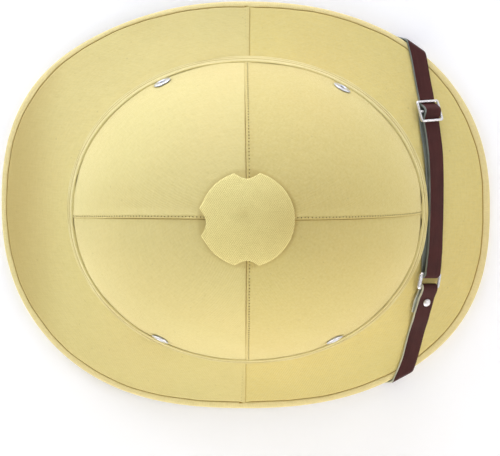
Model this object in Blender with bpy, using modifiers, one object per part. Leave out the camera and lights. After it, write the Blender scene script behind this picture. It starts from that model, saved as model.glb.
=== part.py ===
"""Pith helmet: a moulded body under sewn cloth panels, with a leather chin strap worn up over the brim.

Lengths are metres. +X points to the helmet's front, +Y to its left side and +Z up. The origin lies under
the middle of the helmet, on the surface that its rim rests on.
"""

import math
from collections import namedtuple

import bmesh
import bpy
import numpy as np
from mathutils import Matrix, Vector

# Rim, seen from above
RIM_HALF_LENGTH = 0.170
RIM_HALF_WIDTH = 0.140
RIM_POWER = 2.3
RIM_SIDE_LIFT = 0.011
RIM_FLAT_ANGLE = math.radians(28)
RIM_LIFT_POWER = 1.3

# Crown: a dome on a rounded oval, measured on its cloth
CROWN_HALF_LENGTH = 0.1196
CROWN_HALF_WIDTH = 0.1024
CROWN_POWER = 2.06
CROWN_BASE = 0.026
CROWN_RISE = 0.110
CROWN_MIDDLE = np.array([0.0002, -0.0007])
DOME_POWER = 1.9
VENT_HALF_LENGTH = 0.0066

# Brim, from the crown's foot to the rim
FOOT_HEIGHT = 0.032
BRIM_HOLLOW = 0.25
BRIM_COVER_START = 0.006

# Layers, from the outside in
CLOTH = 0.001
GAP = 0.0003
BODY_WALL = 0.003
SEAM_GAP = 0.0006
BACK_SEAM_DRIFT = math.radians(2.9)

# Binding round the rim
BINDING_REACH = 0.0043
BINDING_UNDER = 0.0052
BINDING_ROUND = 0.0012
BINDING_FOOT = (0.0012, 0.0032)

# Hat band
BAND_LOW = 0.0332
BAND_HIGH = 0.0508
BAND_GAP = 0.0004

# Vent cap and its post
CAP_RADIUS = 0.0295
CAP_CLEAR = 0.0012
CAP_STEPS = 60
POST_RADIUS = 0.0038
POST_HEAD_RADIUS = 0.0095
POST_HEAD = 0.0015

# Eyelets
EYELET_RADIUS = 0.00675
EYELET_BARREL = 0.0040
EYELET_BORE = 0.0027
EYELET_HEIGHT = 0.0580
EYELET_SEAT = 0.0004
EYELET_LIP_CLEAR = 0.0010

# Chin strap and its fittings
STRAP_WIDTH = 0.012
LEATHER = 0.0018
BAR = 0.0016
BAR_ROUND = 0.0004
SLIDE_LENGTH = 0.0158
SLIDE_WIDTH = 0.0172
RING_LENGTH = 0.0114
RING_WIDTH = 0.0172
SIDE_BAR = 0.0020
RIVET_RADIUS = 0.00265
RIVET_DOME = 0.0013
RIVET_CLEAR = 0.0006
SHANK_RADIUS = 0.0012
STUD_HEAD_RADIUS = 0.0034
STUD_HEAD = 0.0012
STUD_DEPTH = 0.0018
FOLD_RADIUS = 0.0044
FOLD_BACK = 0.0017
TAIL_LENGTH = 0.0200
HOLD = 0.008
LOOK = 0.002

ROUND_SEGMENTS = 52
QUARTER = ROUND_SEGMENTS // 4
CROWN_ROWS = 8
BRIM_SHARES = (0.33, 0.67, 1.0)
TINY = 1e-4

Wander = namedtuple("Wander", "angle_deg push")
RIM_WANDER = (
    Wander(0, -0.0014),
    Wander(30, -0.0018),
    Wander(60, -0.0004),
    Wander(90, 0.0008),
    Wander(120, -0.0004),
    Wander(150, 0.0018),
    Wander(180, 0.0008),
    Wander(210, 0.0004),
    Wander(240, 0.0012),
    Wander(270, -0.0013),
    Wander(300, -0.0008),
    Wander(330, 0.0010),
)

BandRow = namedtuple("BandRow", "rise stand")
BAND_ROWS = (
    BandRow(0.00, 0.0010),
    BandRow(0.22, 0.0018),
    BandRow(0.42, 0.0014),
    BandRow(0.62, 0.0020),
    BandRow(0.82, 0.0014),
    BandRow(1.00, 0.0017),
)

CapRow = namedtuple("CapRow", "share lift")
CAP_ROWS = (
    CapRow(0.30, 0.0029),
    CapRow(0.70, 0.0024),
    CapRow(0.94, 0.0017),
    CapRow(1.00, 0.0010),
    CapRow(0.98, 0.0000),
    CapRow(0.30, 0.0000),
)

Notch = namedtuple("Notch", "angle_deg half_angle_deg depth")
CAP_NOTCHES = (
    Notch(91, 15.5, 0.0042),
    Notch(184, 16.0, 0.0040),
    Notch(270, 14.5, 0.0038),
)

Eyelet = namedtuple("Eyelet", "angle_deg height")
EYELETS = (
    Eyelet(58, EYELET_HEIGHT),
    Eyelet(119.5, EYELET_HEIGHT),
    Eyelet(240.5, EYELET_HEIGHT),
    Eyelet(300.5, EYELET_HEIGHT),
)

# The strap's middle line over the brim, seen from above, from its left fold to its right one
Route = namedtuple("Route", "forward across")
STRAP_ROUTE = (
    Route(0.1130, 0.1150),
    Route(0.1157, 0.1035),
    Route(0.1183, 0.0890),
    Route(0.1206, 0.0765),
    Route(0.1228, 0.0590),
    Route(0.1250, 0.0410),
    Route(0.1257, 0.0240),
    Route(0.1258, 0.0040),
    Route(0.1258, -0.0150),
    Route(0.1256, -0.0295),
    Route(0.1240, -0.0420),
    Route(0.1230, -0.0500),
    Route(0.1218, -0.0602),
    Route(0.1197, -0.0740),
    Route(0.1163, -0.0893),
    Route(0.1126, -0.1036),
    Route(0.1097, -0.1116),
)
SLIDE_AT = 0.0464
RING_AT = 0.1618
RIVET_AFTER = 0.0103
STUD_FORWARD = 0.050
STUD_ACROSS = 0.100

Finish = namedtuple("Finish", "red green blue roughness metallic")
FINISHES = {
    "cloth": Finish(0.68, 0.58, 0.24, 0.85, 0.0),
    "binding_cloth": Finish(0.72, 0.62, 0.29, 0.85, 0.0),
    "body": Finish(0.55, 0.48, 0.27, 0.9, 0.0),
    "leather": Finish(0.075, 0.026, 0.023, 0.45, 0.0),
    "nickel": Finish(0.75, 0.75, 0.74, 0.25, 1.0),
}


# ---- Shapes of the cloth's outer face ----


def eased_between(a, b, c, d, f):
    """Value at a share f of the way from b to c, on a smooth curve through four even steps."""
    return b + 0.5 * f * (c - a + f * (2 * a - 5 * b + 4 * c - d + f * (3 * (b - c) + d - a)))


def eased_round(rows, turn):
    """Value of evenly spaced rows round a full circle at an angle in turns, on a smooth curve."""
    place = (turn % 1.0) * len(rows)
    first = int(place) % len(rows)
    f = place - int(place)
    return eased_between(*(rows[(first + k) % len(rows)] for k in (-1, 0, 1, 2)), f)


def oval(angle, half_length, half_width, power):
    """A point of a rounded oval, seen from above."""
    c, s = math.cos(angle), math.sin(angle)
    x = math.copysign(half_length * abs(c) ** (2 / power), c)
    y = math.copysign(half_width * abs(s) ** (2 / power), s)
    return np.array([x, y])


def rim_plan(angle):
    point = oval(angle, RIM_HALF_LENGTH, RIM_HALF_WIDTH, RIM_POWER)
    push = eased_round([row.push for row in RIM_WANDER], angle / (2 * math.pi))
    return point * (1 + push / np.linalg.norm(point))


def rim_lift(angle):
    """Height of the rim's underside: flat at the front and back, raised at the sides."""
    flat = math.sin(RIM_FLAT_ANGLE) ** 2
    rise = max(0.0, math.sin(angle) ** 2 - flat) / (1 - flat)
    return RIM_SIDE_LIFT * rise**RIM_LIFT_POWER


BINDING_THICK = 2 * CLOTH + 2 * GAP + BODY_WALL
RIM_TOP = BINDING_THICK - 0.0008


def crown_skin(angle, climb):
    """Point of the crown's cloth; climb runs from 0 at the dome's base to a right angle at its top."""
    reach = math.cos(climb) ** (2 / DOME_POWER)
    rise = math.sin(climb) ** (2 / DOME_POWER)
    plan = oval(angle, CROWN_HALF_LENGTH * reach, CROWN_HALF_WIDTH * reach, CROWN_POWER)
    return np.array([*(plan + CROWN_MIDDLE), CROWN_BASE + CROWN_RISE * rise])


def climb_at(height):
    return math.asin(((height - CROWN_BASE) / CROWN_RISE) ** (DOME_POWER / 2))


def brim_skin(angle, reach):
    """Point of the brim's cloth; reach runs from 0 at the crown's foot to 1 at the rim."""
    foot = crown_skin(angle, climb_at(FOOT_HEIGHT))
    edge = rim_plan(angle)
    edge_top = rim_lift(angle) + RIM_TOP
    plan = foot[:2] + (edge - foot[:2]) * reach
    height = edge_top + (FOOT_HEIGHT - edge_top) * (1 - reach) * (1 - BRIM_HOLLOW * reach)
    return np.array([*plan, height])


def outward(skin, angle, station):
    """Unit normal of a skin, on its outer side."""
    across = skin(angle + TINY, station) - skin(angle - TINY, station)
    along = skin(angle, station + TINY) - skin(angle, station - TINY)
    normal = np.cross(along, across)
    normal /= np.linalg.norm(normal)
    return normal if normal[2] > 0 else -normal


def sunk(skin, angle, station, depth):
    return skin(angle, station) - depth * outward(skin, angle, station)


def inset_reach(angle, inset):
    """Brim reach that lies a given distance inside the rim."""
    width = np.linalg.norm(brim_skin(angle, 1.0) - brim_skin(angle, 0.0))
    return 1.0 - inset / width


def brim_place(x, y):
    """Angle and reach of the brim's cloth under a point seen from above."""
    angle = math.atan2(y / RIM_HALF_WIDTH, x / RIM_HALF_LENGTH)
    guess = np.array([angle, 0.5])
    for _ in range(12):
        here = brim_skin(*guess)[:2]
        turn = (brim_skin(guess[0] + TINY, guess[1])[:2] - here) / TINY
        out = (brim_skin(guess[0], guess[1] + TINY)[:2] - here) / TINY
        guess = guess + np.linalg.solve(np.column_stack([turn, out]), np.array([x, y]) - here)
    return guess


# ---- Making objects ----


def new_collection(name):
    collection = bpy.data.collections.new(name)
    bpy.context.scene.collection.children.link(collection)
    return collection


def finish_material(name):
    finish = FINISHES[name]
    material = bpy.data.materials.new(name)
    material.use_nodes = True
    shader = material.node_tree.nodes["Principled BSDF"]
    shader.inputs["Base Color"].default_value = (finish.red, finish.green, finish.blue, 1.0)
    shader.inputs["Roughness"].default_value = finish.roughness
    shader.inputs["Metallic"].default_value = finish.metallic
    material.diffuse_color = (finish.red, finish.green, finish.blue, 1.0)
    return material


def add_object(name, mesh, material, collection):
    obj = bpy.data.objects.new(name, mesh)
    if material:
        mesh.materials.append(material)
    collection.objects.link(obj)
    return obj


def grid_mesh(name, rows, wrap_rows=False, wrap_columns=False, caps=False):
    """A mesh of four-sided faces over rows of points; caps close the first and last row."""
    mesh = bpy.data.meshes.new(name)
    count, width = len(rows), len(rows[0])
    points = [tuple(point) for row in rows for point in row]
    faces = []
    for r in range(count if wrap_rows else count - 1):
        for c in range(width if wrap_columns else width - 1):
            below, beside = (r + 1) % count, (c + 1) % width
            here, under = r * width, below * width
            faces.append((here + c, under + c, under + beside, here + beside))
    if caps:
        faces.append(tuple(range(width)))
        faces.append(tuple(reversed(range((count - 1) * width, count * width))))
    mesh.from_pydata(points, [], faces)
    mesh.update()
    return mesh


def face_out(mesh):
    edit = bmesh.new()
    edit.from_mesh(mesh)
    bmesh.ops.recalc_face_normals(edit, faces=edit.faces)
    edit.to_mesh(mesh)
    edit.free()


def smooth(mesh, sharp_deg=40):
    mesh.shade_smooth()
    mesh.set_sharp_from_angle(angle=math.radians(sharp_deg))


def solidify(obj, thickness):
    wall = obj.modifiers.new("wall", "SOLIDIFY")
    wall.thickness = thickness
    wall.offset = -1
    wall.use_even_offset = True


def cut(obj, cutter):
    hole = obj.modifiers.new(cutter.name, "BOOLEAN")
    hole.operation = "DIFFERENCE"
    hole.object = cutter
    hole.solver = "EXACT"


def turned(name, profile, steps, place, material, collection, closed=False):
    """A turned piece: its profile of radius and height, spun round Z and then placed."""
    mesh = bpy.data.meshes.new(name)
    count = len(profile)
    edges = [(k, (k + 1) % count) for k in range(count if closed else count - 1)]
    mesh.from_pydata([(radius, 0.0, height) for radius, height in profile], edges, [])
    obj = add_object(name, mesh, material, collection)
    screw = obj.modifiers.new("turn", "SCREW")
    screw.axis = "Z"
    screw.steps = steps
    screw.render_steps = steps
    screw.use_merge_vertices = True
    screw.merge_threshold = 1e-6
    screw.use_smooth_shade = True
    obj.matrix_world = place
    return obj


def cylinder_cutter(name, radius, low, high, place, collection, segments=14):
    edit = bmesh.new()
    shift = Matrix.Translation((0, 0, (low + high) / 2))
    size = {"radius1": radius, "radius2": radius, "depth": high - low}
    bmesh.ops.create_cone(edit, cap_ends=True, segments=segments, matrix=shift, **size)
    mesh = bpy.data.meshes.new(name)
    edit.to_mesh(mesh)
    edit.free()
    obj = add_object(name, mesh, None, collection)
    obj.matrix_world = place
    obj.hide_render = True
    obj.display_type = "WIRE"
    return obj


def placed(origin, axis, along=(1, 0, 0)):
    """A frame at a point, with Z along an axis and X as near as it can be to another direction."""
    z = Vector(axis).normalized()
    y = z.cross(Vector(along)).normalized()
    x = y.cross(z)
    frame = Matrix((x, y, z)).transposed().to_4x4()
    frame.translation = Vector(origin)
    return frame


# ---- Body and cloth ----


def crown_climbs():
    """Climbs of the crown's rows, from the edge of the vent hole down to the band's foot."""
    top = math.acos((VENT_HALF_LENGTH / CROWN_HALF_LENGTH) ** (DOME_POWER / 2))
    return [top + (climb_at(BAND_LOW) - top) * k / CROWN_ROWS for k in range(CROWN_ROWS + 1)]


def build_shell(material, collection):
    """The moulded body: one open surface under the cloth, given its wall."""
    depth = CLOTH + GAP
    foot = climb_at(FOOT_HEIGHT)
    angles = [2 * math.pi * k / ROUND_SEGMENTS for k in range(ROUND_SEGMENTS)]
    rows = []
    for climb in crown_climbs():
        rows.append([sunk(crown_skin, angle, climb, depth) for angle in angles])
    corner = []
    for angle in angles:
        wall, ledge = outward(crown_skin, angle, foot), outward(brim_skin, angle, 0.0)
        corner.append(crown_skin(angle, foot) - depth * (wall + ledge) / (1 + wall @ ledge))
    rows.append(corner)
    for share in BRIM_SHARES:
        row = []
        for angle in angles:
            reach = share * inset_reach(angle, CLOTH + GAP)
            row.append(sunk(brim_skin, angle, reach, depth))
        rows.append(row)
    mesh = grid_mesh("shell", rows, wrap_columns=True)
    smooth(mesh)
    obj = add_object("shell", mesh, material, collection)
    solidify(obj, BODY_WALL)
    return obj


def seam_angle(quarter, climb):
    """Angle of a crown seam. The back one drifts to the right side as it comes down."""
    drift = BACK_SEAM_DRIFT * math.cos(climb) ** 2 if quarter == 2 else 0.0
    return quarter * math.pi / 2 + drift


def spread(first, last, half_gap, steps):
    """Evenly spaced angles between two seams, each drawn back by half of the seam's gap."""
    first += half_gap
    last -= half_gap
    return [first + (last - first) * k / steps for k in range(steps + 1)]


def build_crown_cover(quarter, material, collection):
    name = f"crown_cover_{quarter + 1}"
    rows = []
    for climb in crown_climbs():
        radius = CROWN_HALF_WIDTH * math.cos(climb) ** (2 / DOME_POWER)
        first, last = seam_angle(quarter, climb), seam_angle(quarter + 1, climb)
        angles = spread(first, last, 0.5 * SEAM_GAP / radius, QUARTER)
        rows.append([crown_skin(angle, climb) for angle in angles])
    mesh = grid_mesh(name, rows)
    smooth(mesh)
    obj = add_object(name, mesh, material, collection)
    solidify(obj, CLOTH)
    return obj


def build_brim_cover(name, start, material, collection):
    """Half of the brim's cloth, from one side seam to the other."""
    rows = []
    for share in (0.0, *BRIM_SHARES):
        row = []
        for angle in spread(start, start + math.pi, 0.5 * SEAM_GAP / CROWN_HALF_WIDTH, 2 * QUARTER):
            low, high = BRIM_COVER_START, inset_reach(angle, BINDING_REACH + 2 * GAP)
            row.append(brim_skin(angle, low + (high - low) * share))
        rows.append(row)
    mesh = grid_mesh(name, rows)
    smooth(mesh)
    obj = add_object(name, mesh, material, collection)
    solidify(obj, CLOTH)
    return obj


def build_binding(material, collection):
    """Cloth strip folded round the rim: a hook-shaped section, carried round. It stands on a narrow flat."""
    sections = []
    for k in range(ROUND_SEGMENTS):
        angle = 2 * math.pi * k / ROUND_SEGMENTS
        rim, up = brim_skin(angle, 1.0), outward(brim_skin, angle, 0.98)
        out = rim - brim_skin(angle, 0.96)
        out -= up * (out @ up)
        out /= np.linalg.norm(out)
        level = np.array([out[0], out[1], 0.0]) / math.hypot(out[0], out[1])
        ground = rim_lift(angle)

        def at(inset, depth):
            return rim - out * inset - up * depth

        def on_ground(inset):
            point = rim - level * inset
            return np.array([point[0], point[1], ground])

        under = BINDING_THICK - CLOTH
        sections.append(
            [
                at(BINDING_REACH, 0),
                at(BINDING_ROUND, 0),
                at(0, BINDING_ROUND),
                on_ground(BINDING_FOOT[0]),
                on_ground(BINDING_FOOT[1]),
                at(BINDING_UNDER, BINDING_THICK),
                at(BINDING_UNDER, under),
                at(CLOTH, under),
                at(CLOTH, CLOTH),
                at(BINDING_REACH, CLOTH),
            ]
        )
    mesh = grid_mesh("brim_binding", sections, wrap_rows=True, wrap_columns=True)
    face_out(mesh)
    smooth(mesh)
    return add_object("brim_binding", mesh, material, collection)


def build_hat_band(material, collection):
    """Folded cloth band: its outer face swells along two folds, and its inner face follows the crown."""
    sections = []
    for k in range(ROUND_SEGMENTS):
        angle = 2 * math.pi * k / ROUND_SEGMENTS
        outer, inner = [], []
        for row in BAND_ROWS:
            climb = climb_at(BAND_LOW + (BAND_HIGH - BAND_LOW) * row.rise)
            outer.append(sunk(crown_skin, angle, climb, -BAND_GAP - row.stand))
            if row.rise in (0.0, 1.0):
                inner.append(sunk(crown_skin, angle, climb, -BAND_GAP))
        sections.append(outer + inner[::-1])
    mesh = grid_mesh("hat_band", sections, wrap_rows=True, wrap_columns=True)
    face_out(mesh)
    smooth(mesh)
    return add_object("hat_band", mesh, material, collection)


# ---- Vent cap ----


def cap_edge(angle):
    """Radius of the cap's edge, with its notches drawn in."""
    radius = CAP_RADIUS
    for notch in CAP_NOTCHES:
        off = (math.degrees(angle) - notch.angle_deg + 180) % 360 - 180
        share = 1 - abs(off) / notch.half_angle_deg
        if share > 0:
            radius -= notch.depth * math.sin(share * math.pi / 2) ** 1.3
    return radius


def dome_height(x, y):
    """Height of the crown's cloth at a place measured from the crown's own middle."""
    share = (abs(x) / CROWN_HALF_LENGTH) ** CROWN_POWER + (abs(y) / CROWN_HALF_WIDTH) ** CROWN_POWER
    reach = share ** (DOME_POWER / CROWN_POWER)
    return CROWN_BASE + CROWN_RISE * (1 - reach) ** (1 / DOME_POWER)


def cap_ring(share, lift):
    """One ring of the cap, at a share of its radius and a height over the crown's cloth."""
    ring = []
    for k in range(CAP_STEPS):
        angle = 2 * math.pi * k / CAP_STEPS
        x, y = share * cap_edge(angle) * np.array([math.cos(angle), math.sin(angle)])
        ring.append((x, y, dome_height(x, y) + lift))
    return ring


def build_vent_cap(material, collection):
    """A shallow dome over the crown's top, a little clear of it all round, with a turned-down edge."""
    rings = [cap_ring(row.share, CAP_CLEAR + row.lift) for row in CAP_ROWS]
    mesh = grid_mesh("vent_cap", rings, wrap_columns=True, caps=True)
    face_out(mesh)
    smooth(mesh)
    obj = add_object("vent_cap", mesh, material, collection)
    obj.location = (*CROWN_MIDDLE, 0.0)
    return obj


def build_cap_post(material, collection):
    """Plain post under the cap, through the vent hole, with a head inside the crown."""
    top = dome_height(0.3 * CAP_RADIUS, 0.0) + CAP_CLEAR - GAP
    inside = dome_height(POST_HEAD_RADIUS, 0.0) - CLOTH - BODY_WALL - 4 * GAP
    profile = [
        (0.0, top),
        (POST_RADIUS, top),
        (POST_RADIUS, inside),
        (POST_HEAD_RADIUS, inside),
        (POST_HEAD_RADIUS, inside - POST_HEAD),
        (0.0, inside - POST_HEAD),
    ]
    place = Matrix.Translation((*CROWN_MIDDLE, 0.0))
    return turned("cap_post", profile, 20, place, material, collection)


# ---- Eyelets ----


def build_eyelet(number, row, covers, shell, material, collection, cutters):
    """A pressed ring on the cloth, its barrel through cloth and body, and its lip turned out inside."""
    angle, climb = math.radians(row.angle_deg), climb_at(row.height)
    place = placed(crown_skin(angle, climb), outward(crown_skin, angle, climb), along=(0, 0, 1))
    seat, inner = EYELET_SEAT, -(CLOTH + GAP + BODY_WALL + EYELET_LIP_CLEAR)
    profile = [
        (EYELET_BORE, seat + 0.0007),
        (EYELET_BORE + 0.0012, seat + 0.0013),
        (EYELET_RADIUS - 0.0016, seat + 0.0011),
        (EYELET_RADIUS, seat),
        (EYELET_BARREL, seat),
        (EYELET_BARREL, inner),
        (EYELET_BARREL + 0.0010, inner - 0.0003),
        (EYELET_BARREL + 0.0010, inner - 0.0009),
        (EYELET_BORE, inner - 0.0009),
    ]
    obj = turned(f"eyelet_{number}", profile, 14, place, material, collection, closed=True)
    name = f"eyelet_hole_{number}"
    hole = cylinder_cutter(name, EYELET_BARREL + GAP, inner - 0.004, 0.004, place, cutters)
    cut(covers[int(row.angle_deg // 90)], hole)
    cut(shell, hole)
    return obj


# ---- Chin strap ----


def rim_crossing(inner, towards):
    """Where a line from a point on the brim, seen from above, reaches the rim."""
    low, high = 0.0, 3.0
    for _ in range(40):
        middle = (low + high) / 2
        if brim_place(*(inner + (towards - inner) * middle))[1] < 1.0:
            low = middle
        else:
            high = middle
    return inner + (towards - inner) * low


class StrapFrame:
    """The strap's middle line on the brim, measured from its left fold, with a frame at each place."""

    def __init__(self):
        rows = [np.array(row) for row in STRAP_ROUTE]
        rows[0] = rim_crossing(rows[1], rows[0])
        rows[-1] = rim_crossing(rows[-2], rows[-1])
        rows = [2 * rows[0] - rows[1], *rows, 2 * rows[-1] - rows[-2]]
        plan = []
        for a, b, c, d in zip(rows, rows[1:], rows[2:], rows[3:]):
            for f in np.linspace(0, 1, 8, endpoint=False):
                plan.append(eased_between(a, b, c, d, f))
        plan.append(rows[-2])
        self.places = [brim_place(*point) for point in plan]
        self.feet = np.array([brim_skin(*place) for place in self.places])
        self.ups = np.array([outward(brim_skin, *place) for place in self.places])
        steps = np.linalg.norm(np.diff(self.feet, axis=0), axis=1)
        self.marks = np.concatenate([[0.0], np.cumsum(steps)])
        self.length = self.marks[-1]

    def at(self, mark):
        """Foot, forward direction, side and normal at a distance, held straight through each fitting."""
        foot, ahead, up = self.loose(mark)
        for centre in (SLIDE_AT, RING_AT):
            share = eased(1, 0, (abs(mark - centre) - HOLD) / HOLD)
            if share > 0:
                base, base_ahead, base_up = self.loose(centre)
                foot = foot * (1 - share) + (base + base_ahead * (mark - centre)) * share
                ahead = ahead * (1 - share) + base_ahead * share
                up = up * (1 - share) + base_up * share
        up /= np.linalg.norm(up)
        ahead -= up * (ahead @ up)
        ahead /= np.linalg.norm(ahead)
        return foot, ahead, np.cross(up, ahead), up

    def foot(self, mark):
        return np.array([np.interp(mark, self.marks, self.feet[:, k]) for k in range(3)])

    def loose(self, mark):
        """The same on the brim itself; straight on past either fold."""
        near = min(max(mark, 0.0), self.length)
        foot = self.foot(near)
        up = np.array([np.interp(near, self.marks, self.ups[:, k]) for k in range(3)])
        up /= np.linalg.norm(up)
        ahead = self.foot(min(near + LOOK, self.length)) - self.foot(max(near - LOOK, 0.0))
        ahead -= up * (ahead @ up)
        ahead /= np.linalg.norm(ahead)
        return foot + ahead * (mark - near), ahead, up


def strap_mesh(name, stations):
    """The strap's solid, from stations of centre, side and grain direction."""
    rows = []
    for centre, side, grain in stations:
        half_side, half_up = side * STRAP_WIDTH / 2, grain * LEATHER / 2
        rows.append(
            [
                centre - half_side - half_up,
                centre + half_side - half_up,
                centre + half_side + half_up,
                centre - half_side + half_up,
            ]
        )
    mesh = grid_mesh(name, rows, wrap_columns=True, caps=True)
    face_out(mesh)
    smooth(mesh, 30)
    return mesh


def flat_stations(frame, path, slants=None):
    """Stations of a path of marks and lifts over the brim; slants turn the strap's ends to the rim's line."""
    stations = []
    for k, (mark, lift) in enumerate(path):
        foot, ahead, side, up = frame.at(mark)
        before, after = path[max(k - 1, 0)], path[min(k + 1, len(path) - 1)]
        run, rise = after[0] - before[0], after[1] - before[1]
        size = math.hypot(run, rise)
        grain = up * (run / size) - ahead * (rise / size)
        if slants:
            side = side + ahead * slants[k]
        stations.append((foot + up * lift, side, grain))
    return stations


def eased(low, high, share):
    share = min(max(share, 0.0), 1.0)
    return low + (high - low) * (1 - math.cos(math.pi * share)) / 2


LAY = 1.6 * GAP + LEATHER / 2
SECOND_LAY = LAY + GAP + LEATHER
BAR_CLEAR = BAR / 2 + GAP + LEATHER / 2
RING_LIFT = LAY + BAR_CLEAR
OVER_RING = RING_LIFT + BAR_CLEAR
SLIDE_PITCH = (SLIDE_LENGTH - BAR) / 2
SLIDE_CLEAR = BAR_CLEAR + GAP
SLIDE_LIFT_FIRST = LAY + SLIDE_CLEAR
SLIDE_LIFT_LAST = SECOND_LAY + SLIDE_CLEAR
SLIDE_LIFT_MIDDLE = (SLIDE_LIFT_FIRST + SLIDE_LIFT_LAST) / 2
RING_PITCH = (RING_LENGTH - BAR) / 2
SLANT_RUN = 0.012


def rim_frame(angle):
    """Rim point with its line, outward and upward directions."""
    rim = brim_skin(angle, 1.0)
    line = brim_skin(angle + TINY, 1.0) - brim_skin(angle - TINY, 1.0)
    line /= np.linalg.norm(line)
    up = outward(brim_skin, angle, 0.98)
    up -= line * (up @ line)
    up /= np.linalg.norm(up)
    return rim, line, np.cross(line, up), up


def lean_on_rim(frame, mark, way):
    """The rim's angle at one end of the strap's route, how far the strap drifts along the rim for each
    step out over it, and how far its cross line leans along its own length to lie on the rim."""
    foot, ahead, side, _ = frame.at(mark)
    angle = brim_place(*foot[:2])[0]
    _, line, out, _ = rim_frame(angle)
    leave = ahead * way
    return angle, (line @ leave) / (out @ leave), (line @ ahead) / (line @ side)


def fold_stations(frame, mark, way, stud):
    """Stations from the rim fold down under the brim to the stud, in the order of leaving the brim."""
    angle, drift, _ = lean_on_rim(frame, mark, way)
    side = frame.at(mark)[2]
    tiny_run = np.linalg.norm(brim_skin(angle + TINY, 1.0) - brim_skin(angle - TINY, 1.0))
    rate = 2 * TINY / tiny_run
    depth = FOLD_RADIUS - LAY
    stations = []
    for k in range(1, 9):
        turn = math.pi * k / 8
        run = FOLD_RADIUS * turn - FOLD_BACK
        rim, line, out, up = rim_frame(angle + rate * drift * run)
        centre = rim + out * (FOLD_RADIUS * math.sin(turn) - FOLD_BACK)
        centre += up * (FOLD_RADIUS * math.cos(turn) - depth)
        grain = out * math.sin(turn) + up * math.cos(turn)
        slant_side = line / (line @ side)
        stations.append((centre, slant_side, grain))
    start, grain_start = stations[-1][0], stations[-1][2]
    place = brim_place(*stud)
    down_there = outward(brim_skin, *place)
    under = CLOTH + 2 * GAP + BODY_WALL + LEATHER / 2
    stop = brim_skin(*place) - down_there * under
    leave_under = line * drift - out
    leave_under /= np.linalg.norm(leave_under)
    span = stop - start
    reach = np.linalg.norm(span)
    run_on = span / reach
    run_on -= down_there * (run_on @ down_there)
    run_on /= np.linalg.norm(run_on)
    ends = [start, start + leave_under * reach * 0.33, stop - run_on * reach * 0.33, stop]
    count = 10
    for k in range(1, count + 2):
        f = k / count
        if k <= count:
            weights = ((1 - f) ** 3, 3 * f * (1 - f) ** 2, 3 * f * f * (1 - f), f**3)
            centre = sum(w * p for w, p in zip(weights, ends))
            slope = -3 * (1 - f) ** 2 * ends[0] + 3 * (1 - 4 * f + 3 * f * f) * ends[1]
            slope = slope + 3 * (2 * f - 3 * f * f) * ends[2] + 3 * f * f * ends[3]
        else:
            centre, slope = stop + run_on * STRAP_WIDTH * 0.5, run_on
        slope = slope / np.linalg.norm(slope)
        grain = grain_start * (1 - min(f, 1)) - down_there * min(f, 1)
        grain -= slope * (grain @ slope)
        grain /= np.linalg.norm(grain)
        straight = np.cross(slope, grain) * math.copysign(1, np.cross(slope, grain) @ slant_side)
        ease = eased(0, 1, f / 0.35)
        stations.append((centre, slant_side * (1 - ease) + straight * ease, grain))
    stud_place = placed(stop, -down_there, along=tuple(run_on))
    return stations, stud_place


def slant_list(frame, path, mark, way):
    """How far the strap's cross line leans along it near the rim fold, by station of a path."""
    full = lean_on_rim(frame, mark, way)[2]
    return [full * (1 - eased(0, 1, abs(place - mark) / SLANT_RUN)) for place, _ in path]


def ring_fold(centre_mark, way):
    """Path round one bar of the ring, from above it to below it."""
    path = []
    for k in range(1, 8):
        turn = math.pi * k / 8
        mark = centre_mark + way * BAR_CLEAR * math.sin(turn)
        path.append((mark, RING_LIFT + BAR_CLEAR * math.cos(turn)))
    return path


def build_strap_upper(frame, material, collection, cutters):
    """The long length: stud, rim fold, through the slide, round the ring and back under itself."""
    first, middle, last = SLIDE_AT - SLIDE_PITCH, SLIDE_AT, SLIDE_AT + SLIDE_PITCH
    bar = RING_AT - RING_PITCH
    path = [(mark, LAY) for mark in (0.0, 0.003, 0.006, 0.010, 0.014, 0.022, 0.031, first - 0.003)]
    over = SLIDE_LIFT_MIDDLE + SLIDE_CLEAR
    for k in range(0, 8):
        path.append((first + SLIDE_PITCH * k / 8, eased(LAY, over, k / 8)))
    for k in range(0, 9):
        path.append((middle + SLIDE_PITCH * k / 8, eased(over, SECOND_LAY, k / 8)))
    rise = bar - 0.016
    for k in range(1, 9):
        path.append((last + (rise - last) * k / 8, SECOND_LAY))
    for k in range(1, 5):
        path.append((rise + (bar - rise) * k / 4, eased(SECOND_LAY, OVER_RING, k / 4)))
    path += ring_fold(bar, 1)
    path.append((bar, LAY))
    back = middle + 0.0015
    for k in range(1, 11):
        path.append((bar + (back - bar) * k / 10, LAY))
    slants = slant_list(frame, path, 0.0, -1)
    hidden, stud_place = fold_stations(frame, 0.0, -1, (STUD_FORWARD, STUD_ACROSS))
    stations = hidden[::-1] + flat_stations(frame, path, slants)
    obj = add_object("strap_upper", strap_mesh("strap_upper", stations), material, collection)
    return obj, stud_hole("stud_hole_left", stud_place, cutters), stud_place


def stud_hole(name, place, cutters):
    """Cutter for a stud's shank, through the strap's end and into the body above it."""
    into_body = place @ Matrix.Rotation(math.pi, 4, "X")
    depth = LEATHER / 2 + STUD_DEPTH + 2 * GAP
    return cylinder_cutter(name, SHANK_RADIUS + GAP, -0.003, depth, into_body, cutters)


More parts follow.
